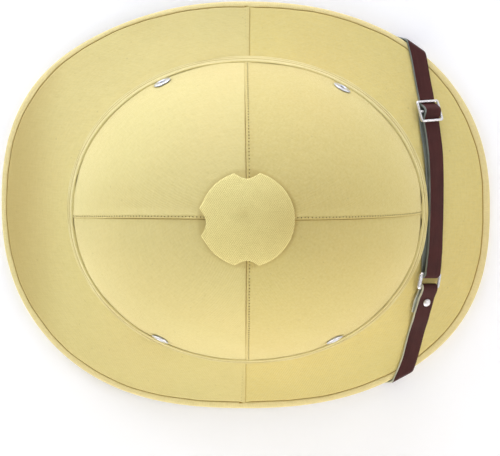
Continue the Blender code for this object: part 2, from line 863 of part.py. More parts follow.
def build_strap_lower(frame, material, collection, cutters):
    """The short length: stud, rim fold, round the ring, with its tail riveted beneath."""
    bar = RING_AT + RING_PITCH
    end = frame.length
    tail = bar + TAIL_LENGTH
    path = [(tail - TAIL_LENGTH * k / 4, LAY) for k in range(0, 5)]
    path += [(mark, lift) for mark, lift in ring_fold(bar, -1)[::-1]]
    path.append((bar, OVER_RING))
    for k in range(1, 5):
        path.append((bar + 0.009 * k / 4, eased(OVER_RING, SECOND_LAY, k / 4)))
    path.append((tail, SECOND_LAY))
    settle = tail + 0.010
    for k in range(1, 5):
        path.append((tail + 0.002 + (settle - tail - 0.002) * k / 4, eased(SECOND_LAY, LAY, k / 4)))
    run = end - settle
    for share in (0.25, 0.5, 0.7, 0.82, 0.9, 0.96, 1.0):
        path.append((settle + run * share, LAY))
    slants = slant_list(frame, path, end, 1)
    hidden, stud_place = fold_stations(frame, end, 1, (STUD_FORWARD, -STUD_ACROSS))
    stations = flat_stations(frame, path, slants) + hidden
    obj = add_object("strap_lower", strap_mesh("strap_lower", stations), material, collection)
    return obj, stud_hole("stud_hole_right", stud_place, cutters), stud_place


def build_frame_piece(name, length, width, bars, place, material, collection, cutters):
    """A flat metal frame with its cross bars left between cut windows, and its edges rounded."""
    edit = bmesh.new()
    bmesh.ops.create_cube(edit, size=1.0, matrix=Matrix.Diagonal((length, width, BAR, 1)))
    mesh = bpy.data.meshes.new(name)
    edit.to_mesh(mesh)
    edit.free()
    obj = add_object(name, mesh, material, collection)
    obj.matrix_world = place
    pitch = (length - BAR) / (bars - 1)
    for k in range(bars - 1):
        window = bmesh.new()
        size = Matrix.Diagonal((pitch - BAR, width - 2 * SIDE_BAR, 3 * BAR, 1))
        shift = Matrix.Translation((-length / 2 + BAR / 2 + pitch * (k + 0.5), 0, 0))
        bmesh.ops.create_cube(window, size=1.0, matrix=shift @ size)
        window_mesh = bpy.data.meshes.new(f"{name}_window_{k + 1}")
        window.to_mesh(window_mesh)
        window.free()
        cutter = add_object(f"{name}_window_{k + 1}", window_mesh, None, cutters)
        cutter.matrix_world = place
        cutter.hide_render = True
        cutter.display_type = "WIRE"
        cut(obj, cutter)
    corners = obj.modifiers.new("corners", "BEVEL")
    corners.width = BAR_ROUND
    corners.segments = 1
    return obj


def build_fittings(frame, material, collection, cutters):
    foot, ahead, _, up = frame.at(SLIDE_AT)
    tip = math.atan2(SLIDE_LIFT_LAST - SLIDE_LIFT_FIRST, 2 * SLIDE_PITCH)
    along = ahead * math.cos(tip) + up * math.sin(tip)
    normal = up * math.cos(tip) - ahead * math.sin(tip)
    place = placed(foot + up * SLIDE_LIFT_MIDDLE, normal, along=tuple(along))
    build_frame_piece("slide_buckle", SLIDE_LENGTH, SLIDE_WIDTH, 3, place, material, collection, cutters)
    foot, ahead, _, up = frame.at(RING_AT)
    place = placed(foot + up * RING_LIFT, up, along=tuple(ahead))
    build_frame_piece("strap_ring", RING_LENGTH, RING_WIDTH, 2, place, material, collection, cutters)


def build_rivet(frame, strap, material, collection, cutters):
    """Domed rivet through the lower length and its tail."""
    mark = RING_AT + RING_PITCH + RIVET_AFTER
    foot, ahead, _, up = frame.at(mark)
    place = placed(foot, up, along=tuple(ahead))
    seat = SECOND_LAY + LEATHER / 2 + RIVET_CLEAR
    profile = [
        (0.0, seat + RIVET_DOME),
        (RIVET_RADIUS * 0.5, seat + RIVET_DOME * 0.87),
        (RIVET_RADIUS * 0.85, seat + RIVET_DOME * 0.5),
        (RIVET_RADIUS, seat + 0.0002),
        (RIVET_RADIUS, seat),
        (SHANK_RADIUS, seat),
        (SHANK_RADIUS, GAP),
        (0.0, GAP),
    ]
    turned("strap_rivet", profile, 16, place, material, collection)
    hole = cylinder_cutter("rivet_hole", SHANK_RADIUS + GAP, -0.002, 0.008, place, cutters, 14)
    cut(strap, hole)


def build_stud(name, place, material, collection):
    """Plain stud: its head under the strap's end, its shank through the strap and into the body."""
    low = LEATHER / 2 + GAP
    profile = [
        (0.0, low + STUD_HEAD),
        (STUD_HEAD_RADIUS, low + STUD_HEAD),
        (STUD_HEAD_RADIUS, low),
        (SHANK_RADIUS, low),
        (SHANK_RADIUS, -LEATHER / 2 - GAP - STUD_DEPTH),
        (0.0, -LEATHER / 2 - GAP - STUD_DEPTH),
    ]
    return turned(name, profile, 14, place, material, collection)


def build_cloth(materials, collection):
    """The sewn cloth over the body: crown panels, brim halves, binding, band and vent cap."""
    cloth = materials["cloth"]
    covers = [build_crown_cover(quarter, cloth, collection) for quarter in range(4)]
    build_brim_cover("brim_cover_front", -math.pi / 2, cloth, collection)
    build_brim_cover("brim_cover_back", math.pi / 2, cloth, collection)
    build_binding(materials["binding_cloth"], collection)
    build_hat_band(cloth, collection)
    build_vent_cap(cloth, collection)
    return covers


def build_strap(shell, materials, collection, cutters):
    """The chin strap's two lengths with their slide, ring, rivet and studs."""
    nickel, leather = materials["nickel"], materials["leather"]
    frame = StrapFrame()
    upper, left_hole, left_place = build_strap_upper(frame, leather, collection, cutters)
    lower, right_hole, right_place = build_strap_lower(frame, leather, collection, cutters)
    for strap, hole in ((upper, left_hole), (lower, right_hole)):
        cut(strap, hole)
        cut(shell, hole)
    build_stud("strap_stud_left", left_place, nickel, collection)
    build_stud("strap_stud_right", right_place, nickel, collection)
    build_rivet(frame, lower, nickel, collection, cutters)
    build_fittings(frame, nickel, collection, cutters)


def main():
    for obj in list(bpy.data.objects):
        bpy.data.objects.remove(obj)
    helmet = new_collection("pith_helmet")
    cutters = new_collection("cutters")
    cutters.hide_render = True
    materials = {name: finish_material(name) for name in FINISHES}

    shell = build_shell(materials["body"], helmet)
    covers = build_cloth(materials, helmet)
    build_cap_post(materials["nickel"], helmet)
    for number, row in enumerate(EYELETS, 1):
        build_eyelet(number, row, covers, shell, materials["nickel"], helmet, cutters)
    build_strap(shell, materials, helmet, cutters)


main()
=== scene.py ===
import math

import bmesh
import bpy
import numpy as np
from mathutils import Matrix, Vector


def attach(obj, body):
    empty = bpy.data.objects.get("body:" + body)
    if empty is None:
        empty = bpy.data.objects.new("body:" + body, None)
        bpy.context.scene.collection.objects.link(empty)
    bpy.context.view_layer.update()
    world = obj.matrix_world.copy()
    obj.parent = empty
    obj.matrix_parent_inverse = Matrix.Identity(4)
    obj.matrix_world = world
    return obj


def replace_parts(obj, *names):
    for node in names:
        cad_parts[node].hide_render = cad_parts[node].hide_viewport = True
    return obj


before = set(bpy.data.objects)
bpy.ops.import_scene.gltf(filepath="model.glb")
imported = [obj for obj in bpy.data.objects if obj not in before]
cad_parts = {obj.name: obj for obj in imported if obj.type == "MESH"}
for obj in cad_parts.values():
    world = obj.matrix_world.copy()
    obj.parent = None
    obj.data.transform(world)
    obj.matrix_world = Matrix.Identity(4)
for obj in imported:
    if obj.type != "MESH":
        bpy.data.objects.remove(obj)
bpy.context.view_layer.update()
deg = math.radians
mm = 0.001
fullTurn = 2 * math.pi

# Main form of the helmet in metres, its front along +X: the same values as the solids
form = {
    "rimLength": 0.170, "rimWidth": 0.140, "rimPower": 2.3,
    "sideLift": 0.011, "flatAngle": deg(28), "liftPower": 1.3, "rimTop": 0.0048,
    "crownLength": 0.1196, "crownWidth": 0.1024, "crownPower": 2.06,
    "crownBase": 0.026, "crownRise": 0.110, "domePower": 1.9, "crownMiddle": (0.0002, -0.0007),
    "footHeight": 0.032, "brimHollow": 0.25,
    "layer": 0.0013, "wall": 0.003, "ventHole": 0.0066,
}
# How far the rim stands out from a true oval, in mm, every 30 degrees from the front
rimWander = [-1.1, -1.4, -0.2, 1.5, -0.4, 2.7, 1.1, 1.1, 1.8, -0.5, -0.4, 1.6]


def easedBetween(a, b, c, d, f):
    # on a smooth curve through four even steps, a share f of the way from b to c
    return b + 0.5 * f * (c - a + f * (2 * a - 5 * b + 4 * c - d + f * (3 * (b - c) + d - a)))


def easeIn(share):
    share = np.clip(share, 0.0, 1.0)
    return share * share * (3 - 2 * share)


def unit(v):
    return v / np.linalg.norm(v, axis=-1, keepdims=True)


def runAlong(points):
    return np.concatenate([[0.0], np.cumsum(np.linalg.norm(np.diff(points, axis=0), axis=1))])


def roundValue(rows, angle):
    # a value at an angle, from rows spaced evenly round the full circle
    rows = np.asarray(rows, float)
    place = (np.asarray(angle) / fullTurn % 1.0) * len(rows)
    first = place.astype(int)
    a, b, c, d = (rows[(first + k) % len(rows)] for k in (-1, 0, 1, 2))
    return easedBetween(a, b, c, d, place - first)


def turnAway(angle, centreDeg):
    # how far an angle lies from a direction, in degrees
    return (np.degrees(angle) - centreDeg + 180) % 360 - 180


def unevenness(x, y, size, seed, waves=9):
    # soft random swell, about -1 to 1, with wavelengths near size
    dice = np.random.default_rng(seed)
    total = 0.0
    for _ in range(waves):
        heading, phase = dice.uniform(0, fullTurn, 2)
        wave = fullTurn / (size * dice.uniform(0.7, 1.6))
        total = total + np.sin(wave * (x * math.cos(heading) + y * math.sin(heading)) + phase)
    return total / math.sqrt(waves) * 0.7


def oval(angle, length, width, power):
    c, s = np.cos(angle), np.sin(angle)
    x = length * np.sign(c) * np.abs(c) ** (2 / power)
    y = width * np.sign(s) * np.abs(s) ** (2 / power)
    return np.stack([x, y], -1)


def rimPlan(angle):
    plan = oval(angle, form["rimLength"], form["rimWidth"], form["rimPower"])
    return plan * (1 + roundValue(rimWander, angle) * mm / np.linalg.norm(plan, axis=-1))[..., None]


def rimLift(angle):
    flat = math.sin(form["flatAngle"]) ** 2
    rise = np.maximum(0.0, np.sin(angle) ** 2 - flat) / (1 - flat)
    return form["sideLift"] * rise ** form["liftPower"]


def crownSkin(angle, climb):
    # crown cloth; climb runs from 0 at the dome's base to a right angle at its top
    angle, climb = np.broadcast_arrays(np.asarray(angle, float), np.asarray(climb, float))
    reach = np.cos(climb) ** (2 / form["domePower"])
    rise = np.sin(climb) ** (2 / form["domePower"])
    plan = oval(angle, form["crownLength"] * reach, form["crownWidth"] * reach, form["crownPower"])
    plan = plan + np.array(form["crownMiddle"])
    return np.concatenate([plan, (form["crownBase"] + form["crownRise"] * rise)[..., None]], -1)


def climbAt(height):
    rise = (np.asarray(height) - form["crownBase"]) / form["crownRise"]
    return np.arcsin(rise ** (form["domePower"] / 2))


def climbOfRadius(radius):
    return math.acos((radius / form["crownLength"]) ** (form["domePower"] / 2))


def brimSkin(angle, reach):
    # brim cloth; reach runs from 0 at the crown's foot to 1 at the rim
    angle, reach = np.broadcast_arrays(np.asarray(angle, float), np.asarray(reach, float))
    foot = crownSkin(angle, climbAt(form["footHeight"]))[..., :2]
    edge = rimPlan(angle)
    top = rimLift(angle) + form["rimTop"]
    plan = foot + (edge - foot) * reach[..., None]
    height = top + (form["footHeight"] - top) * (1 - reach) * (1 - form["brimHollow"] * reach)
    return np.concatenate([plan, height[..., None]], -1)


def outward(skin, angle, station, step=2e-4):
    across = skin(angle + step, station) - skin(angle - step, station)
    along = skin(angle, station + step) - skin(angle, station - step)
    normal = unit(np.cross(along, across))
    return normal * np.where(normal[..., 2:3] < 0, -1, 1)


def lifted(skin, angle, station, lift):
    return skin(angle, station) + outward(skin, angle, station) * np.asarray(lift, float)[..., None]


def insetReach(angle, inset):
    width = np.linalg.norm(brimSkin(angle, 1.0) - brimSkin(angle, 0.0), axis=-1)
    return 1.0 - inset / width


def brimPlace(x, y):
    # angle and reach of the brim's cloth under a point seen from above
    guess = np.array([math.atan2(y / form["rimWidth"], x / form["rimLength"]), 0.5])
    for _ in range(12):
        here = brimSkin(guess[0], guess[1])[:2]
        turn = (brimSkin(guess[0] + 1e-4, guess[1])[:2] - here) / 1e-4
        out = (brimSkin(guess[0], guess[1] + 1e-4)[:2] - here) / 1e-4
        guess = guess + np.linalg.solve(np.column_stack([turn, out]), np.array([x, y]) - here)
    return guess


def domeHeight(x, y):
    # height of the crown's cloth at a place measured from the crown's own middle
    power = form["crownPower"]
    share = (np.abs(x) / form["crownLength"]) ** power + (np.abs(y) / form["crownWidth"]) ** power
    reach = share ** (form["domePower"] / power)
    return form["crownBase"] + form["crownRise"] * (1 - reach) ** (1 / form["domePower"])


def link(name, mesh):
    obj = bpy.data.objects.new(name, mesh)
    bpy.context.scene.collection.objects.link(obj)
    return obj


def wear(obj, slot, *nodes):
    # the piece rides on the helmet, and stands for the solids named
    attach(obj, "root")
    if nodes:
        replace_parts(obj, *nodes)
    return obj


def gridObject(name, points, materials, closeRows=False, closeColumns=False,
               uv=None, slots=None, paintedShade=None, facing=None):
    # Rows of points joined by four-sided faces. uv is in metres along the cloth, the per-point shade values
    # are painted shade a that darkens a point's colour, and facing gives the way out at a point.
    rows, columns = points.shape[:2]
    rowSteps, columnSteps = np.arange(rows - (not closeRows)), np.arange(columns - (not closeColumns))
    r, c = np.meshgrid(rowSteps, columnSteps, indexing="ij")
    corners = [(r, c), (r + 1, c), (r + 1, c + 1), (r, c + 1)]
    quads = np.stack([(a % rows) * columns + b % columns for a, b in corners], -1).reshape(-1, 4)
    if facing is not None:
        p = points.reshape(-1, 3)[quads[len(quads) // 2 + columns // 3]]
        if np.dot(np.cross(p[1] - p[0], p[2] - p[0]), facing(p.mean(0))) < 0:
            quads, corners = quads[:, ::-1], corners[::-1]
    mesh = bpy.data.meshes.new(name)
    mesh.from_pydata(points.reshape(-1, 3).tolist(), [], quads.tolist())
    if uv is not None:
        layer = mesh.uv_layers.new(name="weave")
        flat = np.stack([uv[a, b] for a, b in corners], 2)
        layer.data.foreach_set("uv", flat.reshape(-1).astype(np.float32))
    if paintedShade is not None:
        layer = mesh.attributes.new("paintedShade", "FLOAT", "POINT")
        layer.data.foreach_set("value", paintedShade.reshape(-1).astype(np.float32))
    for material in materials:
        mesh.materials.append(material)
    if slots is not None:
        mesh.polygons.foreach_set("material_index", slots[r, c].reshape(-1).astype(np.int32))
    mesh.shade_smooth()
    return link(name, mesh)


def smoothThrough(points, steps, closed=False):
    # A smooth curve through rows of points
    points = np.array(points, float)
    count = len(points)
    found = []
    for k in range(count if closed else count - 1):
        if closed:
            near = [(k + j) % count for j in (-1, 0, 1, 2)]
        else:
            near = [min(max(k + j, 0), count - 1) for j in (-1, 0, 1, 2)]
        a, b, c, d = points[near]
        for f in np.linspace(0, 1, steps, endpoint=False):
            found.append(easedBetween(a, b, c, d, f))
    if not closed:
        found.append(points[-1])
    return np.array(found)


def metricUv(rows, length):
    # uv of a closed ring of rows: along the ring by its length, across it by distance
    across = runAlong(rows[:, 0])
    along = np.linspace(0, length, rows.shape[1] + 1)
    return np.stack(np.broadcast_arrays(along[None, :], across[:, None]), -1)


def turnedObject(name, profile, steps, place, material, closed=False):
    # A profile of radius and height, spun round Z and then placed
    turn = np.linspace(0, fullTurn, steps, endpoint=False)
    radius, height = np.array(profile).T
    tall = np.repeat(height[:, None], steps, 1)
    ring = np.stack([np.outer(radius, np.cos(turn)), np.outer(radius, np.sin(turn)), tall], -1)
    obj = gridObject(name, ring, [material], closeRows=closed, closeColumns=True)
    edit = bmesh.new()
    edit.from_mesh(obj.data)
    bmesh.ops.remove_doubles(edit, verts=edit.verts, dist=1e-6)
    bmesh.ops.recalc_face_normals(edit, faces=edit.faces)
    edit.to_mesh(obj.data)
    edit.free()
    obj.data.transform(place)
    return obj


def placeAt(origin, axis, along):
    z = Vector(axis).normalized()
    y = z.cross(Vector(along)).normalized()
    place = Matrix((y.cross(z), y, z)).transposed().to_4x4()
    place.translation = Vector(origin)
    return place


def pierce(obj, centres, radius):
    # Opens a clean round hole round each centre
    edit = bmesh.new()
    edit.from_mesh(obj.data)
    for centre in centres:
        middle = Vector(centre)
        gone = [face for face in edit.faces if (face.calc_center_median() - middle).length < radius]
        if not gone:
            continue
        rim = {vert for face in gone for vert in face.verts}
        bmesh.ops.delete(edit, geom=gone, context="FACES")
        for vert in rim:
            if vert.is_valid and vert.is_boundary:
                away = vert.co - middle
                tall = away.dot(vert.normal)
                away -= vert.normal * tall
                vert.co = middle + away.normalized() * radius + vert.normal * tall
    edit.to_mesh(obj.data)
    edit.free()


def threadObject(name, lines, material, look, seed):
    # Short thread arcs along lines, each line being points and normals; dark pits of painted shade in the
    # needle holes when look says so
    dice = np.random.default_rng(seed)
    verts, faces = [], []
    sides, rings, pitSides = 6, 5, 8
    pits, pitFaces = [], []
    for points, normals in lines:
        run = runAlong(points)
        start = look["pitch"] * 0.4
        while start + look["length"] < run[-1]:
            begin = start + dice.normal(0, look["pitch"] * 0.03)
            marks = begin + look["length"] * dice.uniform(0.93, 1.05) * np.linspace(0, 1, rings)
            path = np.stack([np.interp(marks, run, points[:, k]) for k in range(3)], -1)
            up = unit(np.stack([np.interp(marks, run, normals[:, k]) for k in range(3)], -1))
            ahead = unit(path[-1] - path[0])
            side = unit(np.cross(up, ahead))
            path = path + side * dice.normal(0, look["thick"] * 0.12)
            hump = np.sin(np.linspace(0, math.pi, rings))
            if look["pit"] > 0:
                centre = path[0] - ahead * look["pit"] * 0.5 + up[0] * look["pitLift"]
                base = len(pits)
                for k in range(pitSides):
                    a = fullTurn * k / pitSides
                    pits.append(centre + look["pit"] * (ahead * math.cos(a) * 0.8 + side[0] * math.sin(a)))
                pits.append(centre - up[0] * 0.0001)
                bottom = base + pitSides
                pitFaces += [(base + k, base + (k + 1) % pitSides, bottom) for k in range(pitSides)]
            path = path + up * (look["thick"] * (0.9 * hump - 0.35))[:, None]
            wide = look["thick"] * 0.5 * (0.55 + 0.45 * hump)
            base = len(verts)
            for k in range(rings):
                for turn in range(sides):
                    a = fullTurn * turn / sides
                    verts.append(path[k] + side[k] * wide[k] * math.cos(a) + up[k] * wide[k] * math.sin(a))
            for k in range(rings - 1):
                for turn in range(sides):
                    here, beside = base + k * sides + turn, base + k * sides + (turn + 1) % sides
                    faces.append((here, beside, beside + sides, here + sides))
            start += look["pitch"]
    made = []
    parts = ((name, verts, faces, material), (name + "PitShade", pits, pitFaces, pitShade))
    for label, points, shapes, finish in parts:
        if shapes:
            mesh = bpy.data.meshes.new(label)
            mesh.from_pydata([tuple(v) for v in points], [], shapes)
            mesh.materials.append(finish)
            mesh.shade_smooth()
            made.append(link(label, mesh))
    return made


floatSocket, vectorSocket = "NodeSocketFloat", "NodeSocketVector"


def newGroup(name, inputs, outputs):
    # A shader group; inputs are names with their starting values, None for a vector
    tree = bpy.data.node_groups.new(name, "ShaderNodeTree")
    for label, value in inputs.items():
        kind = vectorSocket if value is None else floatSocket
        socket = tree.interface.new_socket(label, in_out="INPUT", socket_type=kind)
        if value is not None:
            socket.default_value = value
    for label in outputs:
        tree.interface.new_socket(label, in_out="OUTPUT", socket_type=floatSocket)
    return tree, tree.nodes.new("NodeGroupInput").outputs, tree.nodes.new("NodeGroupOutput").inputs


def plug(tree, socket, value):
    if isinstance(value, bpy.types.NodeSocket):
        tree.links.new(value, socket)
    elif value is not None:
        socket.default_value = value


def addNode(tree, kind, inputs, **settings):
    node = tree.nodes.new(kind)
    for key, value in settings.items():
        setattr(node, key, value)
    for key, value in inputs.items():
        plug(tree, node.inputs[key], value)
    return node


def maths(tree, operation, first, second=None, third=None):
    return addNode(tree, "ShaderNodeMath", {0: first, 1: second, 2: third}, operation=operation).outputs[0]


def vectorMaths(tree, operation, first, second=None, scale=None):
    inputs = {0: first, 1: second, 3: scale}
    return addNode(tree, "ShaderNodeVectorMath", inputs, operation=operation).outputs[0]


def ranged(tree, value, low, high, toLow=0.0, toHigh=1.0):
    inputs = {"Value": value, "From Min": low, "From Max": high, "To Min": toLow, "To Max": toHigh}
    return addNode(tree, "ShaderNodeMapRange", inputs).outputs["Result"]


def noiseOf(tree, vector, scale, detail, rough):
    inputs = {"Vector": vector, "Scale": scale, "Detail": detail, "Roughness": rough}
    return addNode(tree, "ShaderNodeTexNoise", inputs).outputs["Fac"]


def stretchedNoise(tree, vector, scales, detail, rough):
    return noiseOf(tree, vectorMaths(tree, "MULTIPLY", vector, scales), 1.0, detail, rough)


def mixColour(tree, factor, first, second):
    node = addNode(tree, "ShaderNodeMix", {0: factor}, data_type="RGBA")
    plug(tree, node.inputs[6], (*first, 1) if isinstance(first, tuple) else first)
    plug(tree, node.inputs[7], (*second, 1) if isinstance(second, tuple) else second)
    return node.outputs[2]


def tinted(tree, colour, mask, much, toward):
    # the colour, mixed towards another one where the mask is bright
    return mixColour(tree, maths(tree, "MULTIPLY", mask, much), colour, toward)


def bumpOf(tree, strength, distance, height, over=None):
    inputs = {"Strength": strength, "Distance": distance, "Height": height, "Normal": over}
    return addNode(tree, "ShaderNodeBump", inputs).outputs[0]


def makeTwillWeave():
    # Diagonal ribs over cross threads, with uneven yarn; Vector is in metres along the cloth
    inputs = {"Vector": None, "Pitch": 0.0008, "Slant": 1.0}
    tree, into, out = newGroup("twillWeave", inputs, ("Height", "Rib", "Slub"))
    cloth = into["Vector"]
    wobble = addNode(tree, "ShaderNodeTexNoise", {"Vector": cloth, "Scale": 240.0, "Detail": 2.0})
    off = vectorMaths(tree, "ADD", wobble.outputs["Color"], (-0.5, -0.5, -0.5))
    off = vectorMaths(tree, "SCALE", off, scale=0.0006)
    axes = addNode(tree, "ShaderNodeSeparateXYZ", {0: vectorMaths(tree, "ADD", cloth, off)}).outputs
    turn = maths(tree, "DIVIDE", fullTurn * 0.7, into["Pitch"])
    rib = maths(tree, "MULTIPLY_ADD", axes["Y"], into["Slant"], axes["X"])
    rib = maths(tree, "SINE", maths(tree, "MULTIPLY", rib, turn))
    weft = maths(tree, "MULTIPLY", axes["Y"], maths(tree, "MULTIPLY", turn, 2.1))
    weft = maths(tree, "SINE", weft)
    warpSlub = stretchedNoise(tree, cloth, (900.0, 130.0, 1.0), 2.0, 0.6)
    weftSlub = stretchedNoise(tree, cloth, (130.0, 900.0, 1.0), 2.0, 0.6)
    slub = maths(tree, "MULTIPLY_ADD", maths(tree, "ADD", warpSlub, weftSlub), 2.4, -1.9)
    height = maths(tree, "MULTIPLY_ADD", rib, 0.30, 0.4)
    height = maths(tree, "MULTIPLY_ADD", weft, 0.12, height)
    height = maths(tree, "MULTIPLY_ADD", slub, 0.25, height)
    tree.links.new(height, out["Height"])
    broken = maths(tree, "MULTIPLY", rib, maths(tree, "MULTIPLY_ADD", weft, 0.35, 0.65))
    tree.links.new(ranged(tree, broken, -1.0, 1.0), out["Rib"])
    tree.links.new(slub, out["Slub"])
    return tree


def makeClothTone():
    # Slow change of tone over sewn cloth, with fine mottling and a few darker specks
    inputs = {"Vector": None, "Size": 14.0, "Grain": 650.0}
    tree, into, out = newGroup("clothTone", inputs, ("Patch", "Mottle", "Speck"))
    patch = noiseOf(tree, into["Vector"], into["Size"], 3.0, 0.55)
    mottle = noiseOf(tree, into["Vector"], into["Grain"], 3.0, 0.65)
    dots = noiseOf(tree, into["Vector"], 380.0, 1.0, 0.4)
    tree.links.new(ranged(tree, patch, 0.3, 0.7), out["Patch"])
    tree.links.new(ranged(tree, mottle, 0.3, 0.7), out["Mottle"])
    tree.links.new(ranged(tree, dots, 0.75, 0.82), out["Speck"])
    return tree


def makeMetalMarks():
    # Fine scratches and dull spots on plated metal
    tree, into, out = newGroup("metalMarks", {"Vector": None, "Scale": 500.0}, ("Dull", "Height"))
    stretched = vectorMaths(tree, "MULTIPLY", into["Vector"], (1.0, 7.0, 1.0))
    scratch = noiseOf(tree, stretched, into["Scale"], 2.0, 0.7)
    cloud = noiseOf(tree, into["Vector"], 220.0, 3.0, 0.6)
    dull = maths(tree, "MULTIPLY", ranged(tree, scratch, 0.4, 0.8, 0.2), cloud)
    tree.links.new(dull, out["Dull"])
    tree.links.new(scratch, out["Height"])
    return tree


def makeLeatherGrain():
    # Pores, long stretch marks, cloudy dye and light scuffs; Strip is in metres along the strap
    inputs = {"Vector": None, "Strip": None, "Pores": 1500.0}
    tree, into, out = newGroup("leatherGrain", inputs, ("Cloud", "Streak", "Scuff", "Height"))
    solid, strip = into["Vector"], into["Strip"]
    pores = addNode(tree, "ShaderNodeTexVoronoi", {"Vector": solid, "Scale": into["Pores"]}).outputs
    cloud = noiseOf(tree, solid, 90.0, 4.0, 0.6)
    streak = stretchedNoise(tree, strip, (60.0, 900.0, 1.0), 3.0, 0.6)
    marks = stretchedNoise(tree, strip, (260.0, 420.0, 1.0), 5.0, 0.8)
    tree.links.new(ranged(tree, cloud, 0.3, 0.7), out["Cloud"])
    tree.links.new(ranged(tree, streak, 0.4, 0.75), out["Streak"])
    tree.links.new(ranged(tree, marks, 0.68, 0.76), out["Scuff"])
    tree.links.new(maths(tree, "MULTIPLY_ADD", streak, 0.6, pores["Distance"]), out["Height"])
    return tree


twillWeave, clothTone = makeTwillWeave(), makeClothTone()
metalMarks, leatherGrain = makeMetalMarks(), makeLeatherGrain()


def placeGroup(tree, group, inputs):
    return addNode(tree, "ShaderNodeGroup", inputs, node_tree=group).outputs


def newMaterial(name, rough, specular=0.5, metallic=0.0):
    material = bpy.data.materials.new(name)
    material.use_nodes = True
    shader = material.node_tree.nodes["Principled BSDF"]
    shader.inputs["Roughness"].default_value = rough
    shader.inputs["Specular IOR Level"].default_value = specular
    shader.inputs["Metallic"].default_value = metallic
    return material, material.node_tree, shader


def clothMaterial(name, look):
    material, tree, shader = newMaterial(name, look["rough"], 0.2)
    strip = addNode(tree, "ShaderNodeUVMap", {}, uv_map="weave").outputs["UV"]
    solid = addNode(tree, "ShaderNodeTexCoord", {}).outputs["Object"]
    paintedShade = addNode(tree, "ShaderNodeAttribute", {}, attribute_name="paintedShade").outputs["Fac"]
    weave = placeGroup(tree, twillWeave, {"Vector": strip, "Pitch": look["pitch"], "Slant": look["slant"]})
    tone = placeGroup(tree, clothTone, {"Vector": solid, "Size": look["patchSize"]})
    colour = mixColour(tree, tone["Patch"], look["cool"], look["warm"])
    colour = tinted(tree, colour, weave["Rib"], look["ribShade"], look["deep"])
    colour = tinted(tree, colour, weave["Slub"], look["slub"], look["deep"])
    colour = tinted(tree, colour, tone["Mottle"], look["mottle"], look["pale"])
    colour = tinted(tree, colour, tone["Speck"], look["specks"], look["speck"])
    # painted shade: the colour is darkened where seams, grooves and edges lie in shade
    colour = tinted(tree, colour, paintedShade, look["paintedShade"], look["paintedShadeColour"])
    tree.links.new(colour, shader.inputs["Base Color"])
    rough = maths(tree, "MULTIPLY_ADD", tone["Mottle"], 0.12, look["rough"])
    tree.links.new(rough, shader.inputs["Roughness"])
    lumps = noiseOf(tree, solid, 260.0, 3.0, 0.6)
    broad = bumpOf(tree, look["lumps"], 0.0006, lumps)
    tree.links.new(bumpOf(tree, look["bump"], 0.00025, weave["Height"], broad), shader.inputs["Normal"])
    shader.inputs["Sheen Weight"].default_value = look["sheen"]
    shader.inputs["Sheen Roughness"].default_value = 0.4
    shader.inputs["Sheen Tint"].default_value = (*look["sheenTint"], 1)
    return material


khaki = {
    "pitch": 0.0008, "slant": 1.0, "patchSize": 9.0,
    "cool": (0.670, 0.590, 0.245), "warm": (0.690, 0.560, 0.235), "deep": (0.520, 0.420, 0.150),
    # the brown colour that painted shade in seams, grooves and along edges mixes towards
    "pale": (0.740, 0.650, 0.310), "speck": (0.330, 0.250, 0.110), "paintedShadeColour": (0.300, 0.150, 0.004),
    "ribShade": 0.26, "slub": 0.22, "mottle": 0.40, "specks": 0.25, "paintedShade": 1.0, "rough": 0.72,
    "lumps": 0.26, "bump": 0.6, "sheen": 0.7, "sheenTint": (1.0, 0.91, 0.54),
}


def khakiCloth(name, **changes):
    return clothMaterial(name, {**khaki, **changes})


def threadMaterial(name, dark, light):
    material, tree, shader = newMaterial(name, 0.8, 0.2)
    ply = noiseOf(tree, addNode(tree, "ShaderNodeTexCoord", {}).outputs["Object"], 2400.0, 2.0, 0.6)
    tree.links.new(mixColour(tree, ranged(tree, ply, 0.35, 0.65), dark, light), shader.inputs["Base Color"])
    tree.links.new(bumpOf(tree, 0.5, 0.0001, ply), shader.inputs["Normal"])
    return material


def nickelMaterial(name, look):
    material, tree, shader = newMaterial(name, look["rough"], 0.5, 1.0)
    solid = addNode(tree, "ShaderNodeTexCoord", {}).outputs["Object"]
    marks = placeGroup(tree, metalMarks, {"Vector": solid, "Scale": look["scratches"]})
    colour = mixColour(tree, marks["Dull"], look["bright"], look["dull"])
    tree.links.new(colour, shader.inputs["Base Color"])
    rough = maths(tree, "MULTIPLY_ADD", marks["Dull"], 0.25, look["rough"])
    tree.links.new(rough, shader.inputs["Roughness"])
    tree.links.new(bumpOf(tree, 0.05, 0.0001, marks["Height"]), shader.inputs["Normal"])
    return material


def leatherMaterial(name, look):
    material, tree, shader = newMaterial(name, look["rough"], look["specular"])
    strip = addNode(tree, "ShaderNodeUVMap", {}, uv_map="weave").outputs["UV"]
    solid = addNode(tree, "ShaderNodeTexCoord", {}).outputs["Object"]
    grain = placeGroup(tree, leatherGrain, {"Vector": solid, "Strip": strip, "Pores": look["pores"]})
    colour = mixColour(tree, grain["Cloud"], look["deep"], look["mid"])
    colour = tinted(tree, colour, grain["Streak"], 0.35, look["light"])
    colour = tinted(tree, colour, grain["Scuff"], look["scuffs"], look["scuff"])
    tree.links.new(colour, shader.inputs["Base Color"])
    rough = maths(tree, "MULTIPLY_ADD", grain["Cloud"], 0.15, look["rough"])
    tree.links.new(rough, shader.inputs["Roughness"])
    tree.links.new(bumpOf(tree, look["bump"], 0.0002, grain["Height"]), shader.inputs["Normal"])
    return material


